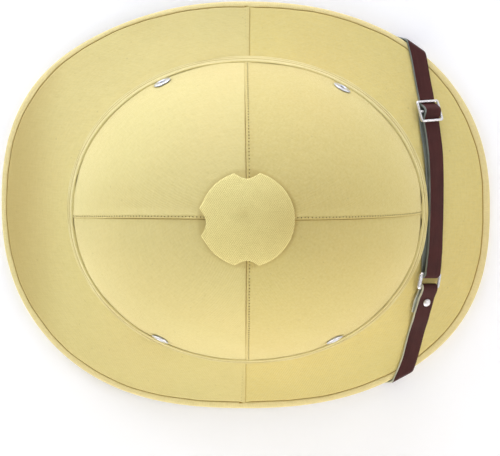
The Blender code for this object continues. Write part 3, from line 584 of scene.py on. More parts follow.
oxblood = {
    "deep": (0.046, 0.0125, 0.0110), "mid": (0.066, 0.0185, 0.0160), "light": (0.090, 0.030, 0.026),
    "pores": 1500.0, "scuff": (0.34, 0.20, 0.16), "scuffs": 0.35,
    "rough": 0.50, "bump": 0.35, "specular": 0.16,
}
cutEdge = {
    "deep": (0.46, 0.48, 0.38), "mid": (0.66, 0.65, 0.54), "light": (0.76, 0.74, 0.64),
    "pores": 900.0, "scuff": (0.75, 0.73, 0.64), "scuffs": 0.4,
    "rough": 0.75, "bump": 0.8, "specular": 0.2,
}
darkEdge = {**cutEdge, "deep": (0.15, 0.17, 0.155), "mid": (0.23, 0.25, 0.225), "light": (0.34, 0.35, 0.31)}
# the upper strap's flesh side: the leather's grey-green, darkened with painted shade where its under-layer
# lies in shadow; the lower strap's paler copy below is the plain colour
shadedFleshSide = {
    "deep": (0.085, 0.095, 0.080), "mid": (0.135, 0.150, 0.125), "light": (0.22, 0.23, 0.19),
    "pores": 700.0, "scuff": (0.50, 0.50, 0.44), "scuffs": 0.5,
    "rough": 0.85, "bump": 1.0, "specular": 0.15,
}
paleFlesh = {
    **shadedFleshSide, "deep": (0.20, 0.22, 0.17), "mid": (0.31, 0.34, 0.27), "light": (0.44, 0.45, 0.37),
}
nickelLook = {"bright": (0.80, 0.79, 0.79), "dull": (0.52, 0.51, 0.51), "rough": 0.22, "scratches": 600.0}
eyeletLook = {**nickelLook, "rough": 0.32, "bright": (0.82, 0.84, 0.91), "dull": (0.62, 0.63, 0.70)}

clothFront = khakiCloth("crownClothFront", cool=(0.655, 0.550, 0.186), warm=(0.675, 0.526, 0.177))
clothBack = khakiCloth("crownClothBack", slant=-1.0, cool=(0.725, 0.630, 0.250), warm=(0.745, 0.602, 0.237))
brimFront = khakiCloth("brimClothFront", cool=(0.755, 0.648, 0.222), warm=(0.772, 0.618, 0.210))
brimBack = khakiCloth("brimClothBack", slant=-1.0, cool=(0.745, 0.655, 0.262), warm=(0.762, 0.625, 0.248))
bandCloth = khakiCloth("hatBandCloth", pitch=0.0007, cool=(0.72, 0.64, 0.28), warm=(0.74, 0.62, 0.27))
bindingCloth = khakiCloth(
    "bindingCloth", pitch=0.0007, slant=0.15,
    cool=(0.80, 0.69, 0.32), warm=(0.82, 0.67, 0.31), pale=(0.82, 0.71, 0.35),
)
capCloth = khakiCloth(
    "ventCapCloth", pitch=0.00087, slant=-0.65, ribShade=0.90, bump=0.9, slub=0.10, mottle=0.2, lumps=0.10,
    cool=(0.97, 0.87, 0.375), warm=(0.98, 0.84, 0.350), pale=(0.96, 0.86, 0.38), deep=(0.53, 0.415, 0.125),
)
bodyCloth = khakiCloth(
    "bodyCloth", slant=0.0, cool=(0.52, 0.46, 0.25), warm=(0.54, 0.46, 0.25), pale=(0.58, 0.52, 0.30),
)
cottonThread = threadMaterial("cottonThread", (0.50, 0.42, 0.17), (0.70, 0.60, 0.28))
# dark pits sitting in the needle holes: painted shade
pitShade = threadMaterial("needlePitShade", (0.15, 0.095, 0.020), (0.18, 0.115, 0.026))
nickel = nickelMaterial("nickelPlate", nickelLook)
eyeletNickel = nickelMaterial("eyeletNickel", eyeletLook)
rivetMetal = nickelMaterial("rivetMetal", {**nickelLook, "rough": 0.45, "bright": (0.88, 0.85, 0.85)})
strapGrain = leatherMaterial("oxbloodGrain", oxblood)
strapEdge = leatherMaterial("strapCutEdge", cutEdge)
strapEdgeDark = leatherMaterial("strapCutEdgeDark", darkEdge)
strapFleshShaded = leatherMaterial("strapFleshSideShaded", shadedFleshSide)
strapFleshPale = leatherMaterial("strapFleshPale", paleFlesh)
print("materials made")

seam = {
    "stand": 0.00095,       # how far the folded edge stands over the cloth beside it
    "fold": 0.00040,        # radius of the folded edge
    "tuck": 0.00055,        # how deep both layers go at the edge
    "tuckWidth": 0.00060,
    "stitchLine": 0.0014,   # from the folded edge to the stitches
    "dent": 0.00018, "dentWidth": 0.00042,
    "lapFrom": 0.0008, "lapEnd": 0.0068,    # where the lap starts to thin, and where it has gone
    "line": 0.00020, "lineUnder": 0.00034,  # width of the painted shade line on each layer
    # strength of the painted shade along the seams
    "paintedShade": 0.75,
    "backDrift": deg(2.9), "leftDrift": deg(1.3),
    "fade": 0.60, "fadeFrom": 0.050, "fadeRun": 0.060,  # the seams lie flatter towards the band
}
# Columns beside a seam, in mm from its folded edge
seamSteps = np.array(
    [-1.3, -0.6, -0.15, 0, 0.1, 0.22, 0.38, 0.6, 0.85, 1.1, 1.4, 1.7, 2.0, 2.6, 3.5, 4.8, 6.8]
) * mm
stitchLook = {"pitch": 0.0024, "length": 0.0014, "thick": 0.00050, "pit": 0.00044, "pitLift": 0.00020}


def pucker(drop, seed):
    # how a seam draws up and lets go along its length, about -1 to 1
    drop = np.asarray(drop, float)
    even = np.sin(drop * fullTurn / stitchLook["pitch"])
    return 0.6 * even + 0.6 * unevenness(drop, drop * 0, 0.012, seed)


def lineShade(away, width):
    return np.exp(-((np.maximum(away, 0) / width) ** 2))


def faded(drop, lift, paintedShade):
    strength = 1 - seam["fade"] * easeIn((np.asarray(drop, float) - seam["fadeFrom"]) / seam["fadeRun"])
    return lift * strength, np.clip(paintedShade * seam["paintedShade"] * strength, 0, 1)


def lapOver(away, drop):
    # lift and painted shade of the layer that lies on top, away from its folded edge
    edge = np.clip(away, 0, seam["fold"]) / seam["fold"]
    rise = np.sqrt(np.clip(1 - (1 - edge) ** 2, 0, 1))
    gone = 1 - easeIn((away - seam["lapFrom"]) / (seam["lapEnd"] - seam["lapFrom"]))
    atStitch = np.exp(-(((away - seam["stitchLine"]) / seam["dentWidth"]) ** 2))
    stand = seam["stand"] * (1 + 0.10 * pucker(drop, 91))
    lift = (stand + seam["tuck"]) * rise * gone - seam["tuck"] * gone
    lift = lift - seam["dent"] * (1 + 1.2 * pucker(drop, 92)) * atStitch
    paintedShade = lineShade(away, seam["line"]) * (0.75 + 0.25 * pucker(drop, 93)) + 0.10 * atStitch
    return faded(drop, lift, paintedShade)


def lapUnder(away, drop):
    # the same for the layer that runs under it
    lift = -seam["tuck"] * (1 - easeIn((away + 0.0001) / seam["tuckWidth"]))
    paintedShade = lineShade(away, seam["lineUnder"]) * (0.8 + 0.2 * pucker(drop, 94))
    return faded(drop, lift, paintedShade)


def seamColumns(length, count):
    inner = np.linspace(seamSteps[-1], length - seamSteps[-1], count + 2)[1:-1]
    return np.concatenate([seamSteps, inner, length - seamSteps[::-1]])


def sewnPanel(name, skin, paths, columns, laps, depth, shape, material, facing):
    # Cloth between two seams. Each path is a row's fine angles and stations with its distance down
    # the seam. laps are lapOver or lapUnder at its two seams, depth how marked the seams are.
    rows, uvs, paintedShades = [], [], []
    for angles, stations, drop in paths:
        run = runAlong(skin(angles, stations))
        away = seamColumns(run[-1], columns)
        inside = np.clip(away, 0, run[-1])
        angle = np.interp(inside, run, angles) + (away - inside) * (angles[-1] - angles[0]) / run[-1]
        station = np.interp(inside, run, stations)
        lift, paintedShade = shape(angle, station)
        for lap, far in zip(laps, (away, run[-1] - away)):
            lapLift, lapShade = lap(far, drop)
            lift = lift + lapLift * depth
            paintedShade = np.maximum(paintedShade, lapShade * depth)
        rows.append(lifted(skin, angle, station, lift))
        uvs.append(np.stack([away - run[-1] / 2, np.full_like(away, drop)], -1))
        paintedShades.append(paintedShade)
    rows, uvs, paintedShades = np.array(rows), np.array(uvs), np.array(paintedShades)
    return gridObject(name, rows, [material], uv=uvs, paintedShade=paintedShades, facing=facing)


crown = {
    "underCap": 0.0175, "bandFoot": 0.0335, "bandTop": 0.0506, "rows": 180, "columns": 84,
    "swell": 0.00022, "ripple": 0.00004, "bandShade": 0.35, "bandShadeRun": 0.0008,
    "capEdge": 0.0297, "capShade": 0.20, "capShadeFront": 0.22, "capShadeRun": 0.0014,
}
eyelet = {
    "turns": (58, 119.5, 240.5, 300.5), "height": 0.0567, "hole": 0.0040, "press": 0.00060,
    "pressed": 0.0075, "tip": 0.06, "stand": 0.00020,
}
topClimb = climbOfRadius(crown["underCap"])
crownClimbs = np.concatenate([
    np.linspace(topClimb, float(climbAt(0.0545)), crown["rows"]),
    climbAt(np.linspace(0.0540, 0.0500, 9)), climbAt(np.linspace(0.0485, crown["bandFoot"], 6)),
])
crownMeridian = runAlong(crownSkin(np.zeros_like(crownClimbs), crownClimbs))
eyeletClimb = climbAt(eyelet["height"])
eyeletCentres = [crownSkin(deg(turn), eyeletClimb) for turn in eyelet["turns"]]


def crownSeamAngle(quarter, climb):
    # the left seam leans back a little, and the back seam drifts to the right side as it comes down
    drift = {1: seam["leftDrift"], 2: seam["backDrift"] * np.cos(climb) ** 2}.get(quarter, 0.0)
    return quarter * math.pi / 2 + drift


def crownShape(angle, climb):
    skin = crownSkin(angle, climb)
    x, y, z = skin.T
    lift = unevenness(x + z, y, 0.038, 11) * crown["swell"]
    lift = lift + unevenness(x + z, y - z, 0.009, 12) * crown["ripple"]
    for centre in eyeletCentres:
        near = np.linalg.norm(skin - centre, axis=1)
        lift = lift - eyelet["press"] * np.exp(-((near / eyelet["pressed"]) ** 4))
    # painted shade on the crown just below the band's top edge, and in a ring round the cap's edge,
    # stronger at the front
    overBand = (z - crown["bandTop"] + crown["bandShadeRun"]) / crown["bandShadeRun"]
    atBand = crown["bandShade"] * (1 - easeIn(overBand))
    fromCap = np.hypot(x - form["crownMiddle"][0], y - form["crownMiddle"][1]) - crown["capEdge"]
    underCap = crown["capShade"] + crown["capShadeFront"] * np.exp(-((turnAway(angle, 5) / 45) ** 2))
    return lift, np.maximum(atBand, underCap * lineShade(fromCap, crown["capShadeRun"]))


def crownPanel(quarter, laps, material):
    share = np.linspace(0, 1, 400)
    paths = []
    for climb, drop in zip(crownClimbs, crownMeridian):
        first, last = crownSeamAngle(quarter, climb), crownSeamAngle(quarter + 1, climb)
        paths.append((first + (last - first) * share, np.full_like(share, climb), drop))
    panel = sewnPanel(
        f"crownPanel{quarter + 1}", crownSkin, paths, crown["columns"], laps, 1.0, crownShape, material,
        lambda p: p - [0, 0, 0.03],
    )
    pierce(panel, eyeletCentres, eyelet["hole"])
    return wear(panel, "cloth", f"crown_cover_{quarter + 1}")


crownPanel(0, (lapOver, lapOver), clothFront)
crownPanel(1, (lapUnder, lapOver), clothBack)
crownPanel(2, (lapUnder, lapUnder), clothBack)
crownPanel(3, (lapOver, lapUnder), clothFront)


def crownStitchLine(quarter, side):
    climb = crownClimbs[2:-1]
    radius = np.linalg.norm(crownSkin(crownSeamAngle(quarter, climb), climb)[:, :2], axis=1)
    angle = crownSeamAngle(quarter, climb) + side * seam["stitchLine"] / radius
    lift = crownShape(angle, climb)[0] + lapOver(np.array(seam["stitchLine"]), crownMeridian[2:-1])[0]
    return lifted(crownSkin, angle, climb, lift), outward(crownSkin, angle, climb)


lines = [crownStitchLine(0, 1), crownStitchLine(1, -1), crownStitchLine(2, -1), crownStitchLine(3, 1)]
for piece in threadObject("crownStitches", lines, cottonThread, stitchLook, 1):
    wear(piece, "cloth")
print("crown made")

brim = {
    "middleColumns": 190, "start": 0.004, "seamDepth": 0.55, "seamRun": 0.052, "tuckUnder": 0.0007,
    "swell": 0.00030, "ripple": 0.00006, "groove": 0.0006, "grooveWidth": 0.00045, "grooveLine": 0.00025,
    "backShade": 0.38, "stitchesFrom": 0.30,
}
nearRim = [0.945, 0.958, 0.967, 0.974, 0.980, 0.985, 0.990, 0.995, 1.0]
brimShares = np.concatenate([np.linspace(0, 0.93, 52), nearRim])
# Width of the binding on the brim in mm, every 30 degrees from the front
bindingWidth = [6.0, 5.6, 4.3, 4.5, 4.0, 5.2, 4.7, 5.2, 5.3, 5.65, 5.6, 6.2]


def bindingInset(angle):
    wave = 0.16 * np.sin(17 * angle + 1.0)
    return (roundValue(bindingWidth, angle) + wave + 0.09 * np.sin(41 * angle)) * mm


def seamFill(angle):
    # 1 where a side seam's ridge crosses the groove beside the binding
    across = np.minimum(np.abs(turnAway(angle, 90)), np.abs(turnAway(angle, 270)))
    return np.exp(-((across / 0.55) ** 2))


def brimShape(angle, reach):
    skin = brimSkin(angle, reach)
    x, y = skin[:, 0], skin[:, 1]
    toEdge = np.linalg.norm(rimPlan(angle) - skin[:, :2], axis=1) * 1.05 - bindingInset(angle)
    near = np.exp(-((toEdge / brim["grooveWidth"]) ** 2)) * (1 - 0.7 * seamFill(angle))
    lift = unevenness(x, y, 0.040, 31) * brim["swell"] * (1 - np.exp(-((toEdge / 0.006) ** 2)))
    lift = lift + unevenness(x, y, 0.010, 32) * brim["ripple"]
    # painted shade in the groove beside the binding, weaker where a side seam crosses it, and painted shade
    # darkening the back brim towards its outer edge
    dark = 0.72 + 0.25 * np.sin(angle) ** 4
    paintedShade = dark * lineShade(toEdge - 0.0001, brim["grooveLine"]) * (1 - 0.9 * seamFill(angle))
    paintedBackShade = brim["backShade"] * easeIn((-x - 0.118) / 0.045)
    return lift - brim["groove"] * near, np.maximum(paintedShade, paintedBackShade)


def brimHalf(name, start, lap, material):
    angles = start + np.linspace(0, math.pi, 900)
    low, high = brim["start"], insetReach(angles, bindingInset(angles) - brim["tuckUnder"])
    paths = [(angles, low + (high - low) * share, share * brim["seamRun"]) for share in brimShares]
    return sewnPanel(
        name, brimSkin, paths, brim["middleColumns"], (lap, lap), brim["seamDepth"], brimShape, material,
        lambda p: Vector((0, 0, 1)),
    )


wear(brimHalf("brimHalfFront", -math.pi / 2, lapUnder, brimFront), "cloth", "brim_cover_front")
wear(brimHalf("brimHalfBack", math.pi / 2, lapOver, brimBack), "cloth", "brim_cover_back")


def brimStitchLine(angle, side):
    last = float(insetReach(angle, bindingInset(np.array(angle)))) - 0.02
    reach = np.linspace(brim["stitchesFrom"], last, 60)
    radius = np.linalg.norm(brimSkin(angle, reach)[:, :2], axis=1)
    turned = angle + side * seam["stitchLine"] / radius
    lift = lapOver(np.array(seam["stitchLine"]), reach * brim["seamRun"])[0] * brim["seamDepth"]
    return lifted(brimSkin, turned, reach, lift), outward(brimSkin, turned, reach)


brimStitchLook = {**stitchLook, "pit": 0, "thick": 0.00030}
lines = [brimStitchLine(math.pi / 2, 1), brimStitchLine(-math.pi / 2, -1)]
for piece in threadObject("brimStitches", lines, cottonThread, brimStitchLook, 2):
    wear(piece, "cloth")
print("brim made")

binding = {"steps": 840, "puff": 0.00034, "pucker": 0.00014, "thick": 0.0056, "paintedShade": 0.4, "line": 0.00022}


def rimFrames(angle):
    rim, up = brimSkin(angle, 1.0), outward(brimSkin, angle, 0.98)
    out = rim - brimSkin(angle, 0.96)
    out = unit(out - up * np.sum(out * up, -1, keepdims=True))
    level = unit(out * np.array([1, 1, 0]))
    return rim, up, out, level


def rimBinding():
    angle = np.linspace(0, fullTurn, binding["steps"], endpoint=False)
    rim, up, out, level = rimFrames(angle)
    wide = bindingInset(angle)[:, None]
    drawn = unevenness(np.cos(angle) * 0.17, np.sin(angle) * 0.14, 0.012, 41) * binding["pucker"]

    def at(inset, height):
        return rim - out * inset + up * height

    def onGround(inset, height=0.0):
        point = rim - level * inset
        point[:, 2] = rimLift(angle) + height
        return point

    puff = binding["puff"] + drawn[:, None]
    section = [
        at(wide + 0.0001, -0.0013), at(wide - 0.0001, -0.0005), at(wide - 0.0004, 0.0001),
        at(wide * 0.82, puff * 0.75), at(wide * 0.60, puff), at(wide * 0.34, puff * 0.6),
        at(wide * 0.13, -0.0004), at(-0.00005, -0.0016), at(0.0001, -0.0030),
        onGround(0.0006, 0.0004), onGround(0.0014), onGround(0.0030), at(0.0046, -0.0053),
        at(0.0055, 0.0002 - binding["thick"]), at(0.0055, -0.0048),
    ]
    rows = smoothThrough(section, 4)
    # painted shade along the binding's inner edge, in the groove beside the brim
    edge = np.linalg.norm(rows - rows[4], axis=-1)
    paintedShade = binding["paintedShade"] * np.exp(-((edge / binding["line"]) ** 2)) * (1 - 0.9 * seamFill(angle))
    paintedShade[12:] = 0
    uv = metricUv(rows, 0.98)
    rows, paintedShade = rows[:, ::-1], paintedShade[:, ::-1]
    return gridObject("rimBinding", rows, [bindingCloth], closeColumns=True, uv=uv, paintedShade=paintedShade)


wear(rimBinding(), "binding_cloth", "brim_binding")
print("binding made")

band = {
    "steps": 720, "low": 0.0328, "high": 0.0506, "gap": 0.12, "sideShrink": 0.80, "frontGrow": 0.35,
    "topShade": 0.10, "insideShade": 0.5, "topLine": 0.0003, "pleatLine": 0.0004,
}
# Share of the band's height and stand off the crown in mm: three pleats, the lowest outermost
bandPleats = [
    (0.00, 0.3), (0.00, 1.5), (0.05, 2.3), (0.15, 2.7), (0.28, 2.5), (0.315, 2.1), (0.32, 1.45),
    (0.35, 1.5), (0.44, 2.0), (0.57, 1.95), (0.625, 1.7), (0.63, 1.1), (0.66, 1.15), (0.78, 1.55),
    (0.90, 1.60), (0.98, 1.35),
]
# The band's top edge seen from inside: share of its height, and how far it stands from the gap's width
bandInside = [(1.00, 0.18), (0.99, 0.0), (0.93, -0.1), (0.82, -0.3), (0.72, -0.5)]
# Where the band stands away from the crown: middle and half width in degrees, and how far in mm,
# negative where it lies close
bandSlits = [
    (6.4, 2.8, 0.55), (-3.4, 1.7, 0.50), (1.4, 1.8, -0.45), (184.3, 2.4, 0.5), (169.0, 2.6, 0.4),
    (181.0, 2.0, -0.4), (90.0, 2.2, -0.45), (272.0, 2.2, -0.45),
]


def bandClimb(rise):
    return climbAt(band["low"] + (band["high"] - band["low"]) * rise)


def hatBand():
    angle = np.linspace(0, fullTurn, band["steps"], endpoint=False)
    x, y = np.cos(angle) * 0.12, np.sin(angle) * 0.10
    gap = band["gap"] * (1 + 0.25 * unevenness(x, y, 0.016, 50))
    for middle, half, much in bandSlits:
        gap = gap + much * np.exp(-((turnAway(angle, middle) / half) ** 4))
    fuller = band["sideShrink"] + band["frontGrow"] * np.cos(angle) ** 2
    pressed = 0.40 + 0.60 * np.exp(-((turnAway(angle, 0) / 50) ** 2))
    rows = []
    for rise, pleated in bandPleats:
        plain = 2.6 - 1.25 * (rise - 0.15) / 0.85 if 0.15 < rise < 0.98 else pleated
        stand = plain + (pleated - plain) * pressed
        wave = 0.018 * unevenness(x, y, 0.05, 51 + int(rise * 10)) * (0.05 < rise < 0.95)
        swell = fuller * (1 + 0.10 * unevenness(x, y, 0.03, 61 + int(rise * 6)))
        stand = np.maximum(stand * swell, gap + 0.35) if rise > 0.7 else stand * swell
        rows.append(lifted(crownSkin, angle, bandClimb(rise + wave), stand * mm))
    for rise, back in bandInside:
        climb = np.full_like(angle, bandClimb(rise))
        rows.append(lifted(crownSkin, angle, climb, np.maximum(gap + back, 0.05) * mm))
    rows = smoothThrough(rows, 4)
    # painted shade along the band's top, inside the gap to the crown, and along two pleat folds
    top = np.linalg.norm(rows - rows[-9], axis=-1)
    paintedShade = band["topShade"] * np.exp(-((top / band["topLine"]) ** 2))
    paintedShade[-9:] = band["insideShade"]
    for fold, dark in ((6, 0.40 * pressed**2), (11, 0.35 + 0.10 * pressed**2)):
        near = np.linalg.norm(rows - rows[fold * 4], axis=-1)
        paintedShade = np.maximum(paintedShade, dark * np.exp(-((near / band["pleatLine"]) ** 2)))
    return gridObject("hatBand", rows, [bandCloth], closeColumns=True, uv=metricUv(rows, 0.70), paintedShade=paintedShade)


wear(hatBand(), "cloth", "hat_band")
print("band made")

cap = {
    "radius": 0.0295, "clear": 0.0012, "steps": 360, "shade": 0.16,
    "dimple": 0.0006, "dimpleAt": (-0.0022, 0.0018), "dimpleWidth": 0.0026, "dimpleShade": 0.006,
}
# Each notch: angle and half angle in degrees, depth in mm, and how far its two tips stand out in mm
capNotches = [(91, 15.5, 4.2, 0.25), (184, 16.0, 4.0, 0.90), (270, 14.5, 3.8, 0.25)]
capProfile = [  # share of the radius, lift in mm
    (0.0, 3.0), (0.15, 2.98), (0.30, 2.93), (0.45, 2.85), (0.60, 2.72), (0.72, 2.58), (0.82, 2.42),
    (0.90, 2.25), (0.945, 2.10), (0.97, 1.96), (0.985, 1.78), (0.996, 1.48), (1.0, 1.10),
    (0.998, 0.60), (0.985, 0.20), (0.94, 0.1), (0.85, 0.4), (0.6, 0.6), (0.3, 0.6),
]


def capEdge(angle):
    radius = np.full_like(angle, cap["radius"])
    for centre, half, depth, tip in capNotches:
        off = np.abs(turnAway(angle, centre))
        share = np.clip(1 - off / half, 0, 1)
        radius = radius - (depth + tip) * mm * np.sin(share**0.85 * math.pi / 2)
        radius = radius + tip * mm * np.exp(-((np.maximum(off - half, 0) / 7) ** 1.5))
    return radius


def capDimple(x, y, width):
    return np.exp(-((np.hypot(x - cap["dimpleAt"][0], y - cap["dimpleAt"][1]) / width) ** 2))


def ventCap():
    angle = np.linspace(0, fullTurn, cap["steps"], endpoint=False)
    edge = capEdge(angle)
    rows = []
    for share, lift in smoothThrough(capProfile, 4):
        share = max(share, 1e-4)
        radius = share * (cap["radius"] + (edge - cap["radius"]) * share**4)
        x, y = radius * np.cos(angle), radius * np.sin(angle)
        bump = 0.00010 * unevenness(x, y, 0.014, 71) * (share < 0.96)
        height = domeHeight(x, y) + cap["clear"] + lift * mm + bump
        rows.append(np.stack([x, y, height - cap["dimple"] * capDimple(x, y, cap["dimpleWidth"])], -1))
    rows = np.array(rows)
    uv = np.concatenate([rows, rows[:, :1]], axis=1)[..., :2]
    x, y = rows[..., 0], rows[..., 1]
    # painted shade, darker towards the front and in the dimple
    frontShade = easeIn((x + 0.012) / 0.040) * np.exp(-((y / 0.024) ** 2))
    paintedShade = cap["shade"] * (frontShade + 0.6 * capDimple(x, y, cap["dimpleShade"]))
    obj = gridObject("ventCap", rows, [capCloth], closeColumns=True, uv=uv, paintedShade=paintedShade)
    obj.data.transform(Matrix.Translation((*form["crownMiddle"], 0)))
    return obj


wear(ventCap(), "cloth", "vent_cap")
print("cap made")

eyeletProfile = [  # radius and height in mm, right round the section
    (2.45, 0.15), (2.60, 0.45), (3.1, 0.70), (3.8, 0.76), (4.6, 0.68), (5.4, 0.48), (5.95, 0.24),
    (6.15, 0.04), (6.0, -0.10), (5.4, -0.10), (4.3, -0.1), (4.0, -0.15), (4.0, -5.3), (4.3, -5.6),
    (5.0, -5.8), (5.1, -6.2), (4.7, -6.6), (3.0, -6.6), (2.7, -6.2), (2.5, -1.0),
]
for number, turn in enumerate(eyelet["turns"], 1):
    ring = smoothThrough(eyeletProfile, 3, closed=True) * mm
    out = outward(crownSkin, deg(turn), eyeletClimb)
    seat = eyeletCentres[number - 1] + out * eyelet["stand"]
    place = placeAt(seat, out - np.array([0, 0, eyelet["tip"]]), (0, 0, 1))
    piece = turnedObject(f"eyelet{number}", ring, 56, place, eyeletNickel, closed=True)
    wear(piece, "nickel", f"eyelet_{number}")
print("eyelets made")

body = {
    "steps": 300, "crownRows": 46, "brimRows": 22, "crownTo": 0.036, "brimFrom": 0.10, "rimInset": 0.0013,
    "eyeletHole": 0.0044, "eyeletDepth": 0.0028,
}


def bodySection(angle, depth):
    # the body's skin at one depth, from the vent hole down to the rim
    top, low = climbOfRadius(form["ventHole"]), float(climbAt(body["crownTo"]))
    climbs = np.linspace(top, low, body["crownRows"])
    rows = [lifted(crownSkin, angle, climb, -depth) for climb in climbs]
    foot = climbAt(form["footHeight"])
    wall = outward(crownSkin, angle, foot)
    ledge = outward(brimSkin, angle, 0.0)
    corner = crownSkin(angle, foot) - depth * (wall + ledge) / (1 + np.sum(wall * ledge, -1, keepdims=True))
    first, last = rows[-1], lifted(brimSkin, angle, body["brimFrom"], -depth)
    for f in np.linspace(0, 1, 8)[1:-1]:
        rows.append(first * (1 - f) ** 2 + corner * 2 * f * (1 - f) + last * f * f)
    for share in np.linspace(body["brimFrom"], 1, body["brimRows"]):
        rows.append(lifted(brimSkin, angle, share * insetReach(angle, body["rimInset"]), -depth))
    return rows


angle = np.linspace(0, fullTurn, body["steps"], endpoint=False)
rows = bodySection(angle, form["layer"]) + bodySection(angle, form["layer"] + form["wall"])[::-1]
rows = np.array(rows)
uv = metricUv(np.concatenate([rows, rows[:1]]), 0.8)
bodyShell = gridObject("bodyShell", rows, [bodyCloth], closeRows=True, closeColumns=True, uv=uv)
barrels = [lifted(crownSkin, deg(turn), eyeletClimb, -body["eyeletDepth"]) for turn in eyelet["turns"]]
pierce(bodyShell, barrels, body["eyeletHole"])
wear(bodyShell, "body", "shell")
print("body made")

strap = {
    "width": 0.012, "leather": 0.0018, "bar": 0.0016, "gap": 0.0003, "cloth": 0.001,
    "slideAt": 0.0464, "ringAt": 0.1618, "hold": 0.008, "look": 0.002, "slantRun": 0.012,
    "drawn": 0.06, "drawnRun": 0.045, "foldRadius": 0.0019, "foldOut": 0.0009, "foldDrop": 0.0088,
    "tail": 0.0182, "studAt": (0.050, 0.100),
}
slide = {
    "length": 0.0158, "width": 0.0178, "half": 0.0009, "leftWide": 1.0,
    "turn": deg(3.6), "shift": -0.0004,
}
loop = {"length": 0.0114, "width": 0.0176, "half": 0.0011, "leftWide": 1.45}
rivet = {"after": 0.0103, "clear": 0.0006, "shank": 0.0012}
# The strap's middle line on the brim seen from above, from its left fold to its right one
strapRoute = [
    (0.1130, 0.1150), (0.1157, 0.1035), (0.1183, 0.0890), (0.1206, 0.0765), (0.1228, 0.0590),
    (0.1250, 0.0410), (0.1257, 0.0240), (0.1258, 0.0040), (0.1258, -0.0150), (0.1256, -0.0295),
    (0.1240, -0.0420), (0.1230, -0.0500), (0.1218, -0.0602), (0.1197, -0.0740), (0.1163, -0.0893),
    (0.1126, -0.1036), (0.1097, -0.1116),
]
# The strap's section in mm, from its flesh side round its right edge to its grain and back
strapSection = [
    (-5.60, -0.90), (-2.0, -0.92), (2.0, -0.92), (5.20, -0.90), (5.50, -0.82), (5.68, -0.60), (6.02, 0.45),
    (5.92, 0.74), (5.55, 0.88), (3.0, 0.92), (0.0, 0.93), (-3.0, 0.92), (-5.15, 0.88), (-5.50, 0.74),
    (-5.72, 0.45), (-6.02, -0.60), (-5.92, -0.82),
]
sectionFaces = [2, 2, 2, 1, 1, 1, 1, 0, 0, 0, 0, 0, 0, 1, 1, 1, 1]  # grain 0, cut edge 1, flesh side 2


def rimCrossing(inner, towards):
    # where a line from a place on the brim reaches the rim, seen from above
    low, high = 0.0, 3.0
    for _ in range(40):
        middle = (low + high) / 2
        if brimPlace(*(inner + (towards - inner) * middle))[1] < 1.0:
            low = middle
        else:
            high = middle
    return inner + (towards - inner) * low


routeRows = [np.array(point) for point in strapRoute]
routeRows[0] = rimCrossing(routeRows[1], routeRows[0])
routeRows[-1] = rimCrossing(routeRows[-2], routeRows[-1])
routeRows = [2 * routeRows[0] - routeRows[1], *routeRows, 2 * routeRows[-1] - routeRows[-2]]
routePlan = smoothThrough(routeRows, 8)[8:-8]
routePlaces = np.array([brimPlace(*point) for point in routePlan])
routeFeet = brimSkin(routePlaces[:, 0], routePlaces[:, 1])
routeUps = outward(brimSkin, routePlaces[:, 0], routePlaces[:, 1])
routeMarks = runAlong(routeFeet)
strapEnd = routeMarks[-1]


def alongRoute(values, mark):
    return np.array([np.interp(mark, routeMarks, values[:, k]) for k in range(3)])


def looseAt(mark):
    near = min(max(mark, 0.0), strapEnd)
    foot, up = alongRoute(routeFeet, near), unit(alongRoute(routeUps, near))
    before, after = max(near - strap["look"], 0.0), min(near + strap["look"], strapEnd)
    ahead = alongRoute(routeFeet, after) - alongRoute(routeFeet, before)
    ahead = unit(ahead - up * (ahead @ up))
    return foot + ahead * (mark - near), ahead, up


def halfWave(low, high, share):
    share = min(max(share, 0.0), 1.0)
    return low + (high - low) * (1 - math.cos(math.pi * share)) / 2


def strapAt(mark):
    # foot on the brim, way along, way across to the front, and way up, held straight through each fitting
    foot, ahead, up = looseAt(mark)
    for centre in (strap["slideAt"], strap["ringAt"]):
        share = halfWave(1, 0, (abs(mark - centre) - strap["hold"]) / strap["hold"])
        if share > 0:
            base, baseAhead, baseUp = looseAt(centre)
            foot = foot * (1 - share) + (base + baseAhead * (mark - centre)) * share
            ahead = ahead * (1 - share) + baseAhead * share
            up = up * (1 - share) + baseUp * share
    up = unit(up)
    ahead = unit(ahead - up * (ahead @ up))
    return foot, ahead, np.cross(up, ahead), up


def rimFrame(turn):
    rim = brimSkin(turn, 1.0)
    line = unit(brimSkin(turn + 1e-4, 1.0) - brimSkin(turn - 1e-4, 1.0))
    up = outward(brimSkin, turn, 0.98)
    up = unit(up - line * (up @ line))
    return rim, line, np.cross(line, up), up


def leanOnRim(mark, way):
    # where the strap leaves over the rim, how far it drifts along the rim, and how it slants to it
    foot, ahead, side, _ = strapAt(mark)
    turn = brimPlace(*foot[:2])[0]
    _, line, out, _ = rimFrame(turn)
    leave = ahead * way
    return turn, (line @ leave) / (out @ leave), (line @ ahead) / (line @ side)


drawnShift = strap["drawn"] * strap["width"] / 2
lay = 1.6 * strap["gap"] + strap["leather"] / 2
secondLay = lay + strap["gap"] + strap["leather"]
barClear = strap["bar"] / 2 + strap["gap"] + strap["leather"] / 2
ringLift, overRing = lay + barClear, lay + 2 * barClear
slidePitch, ringPitch = (slide["length"] - strap["bar"]) / 2, (loop["length"] - strap["bar"]) / 2
slideLifts = (lay + barClear + strap["gap"], secondLay + barClear + strap["gap"])
slideLift = sum(slideLifts) / 2


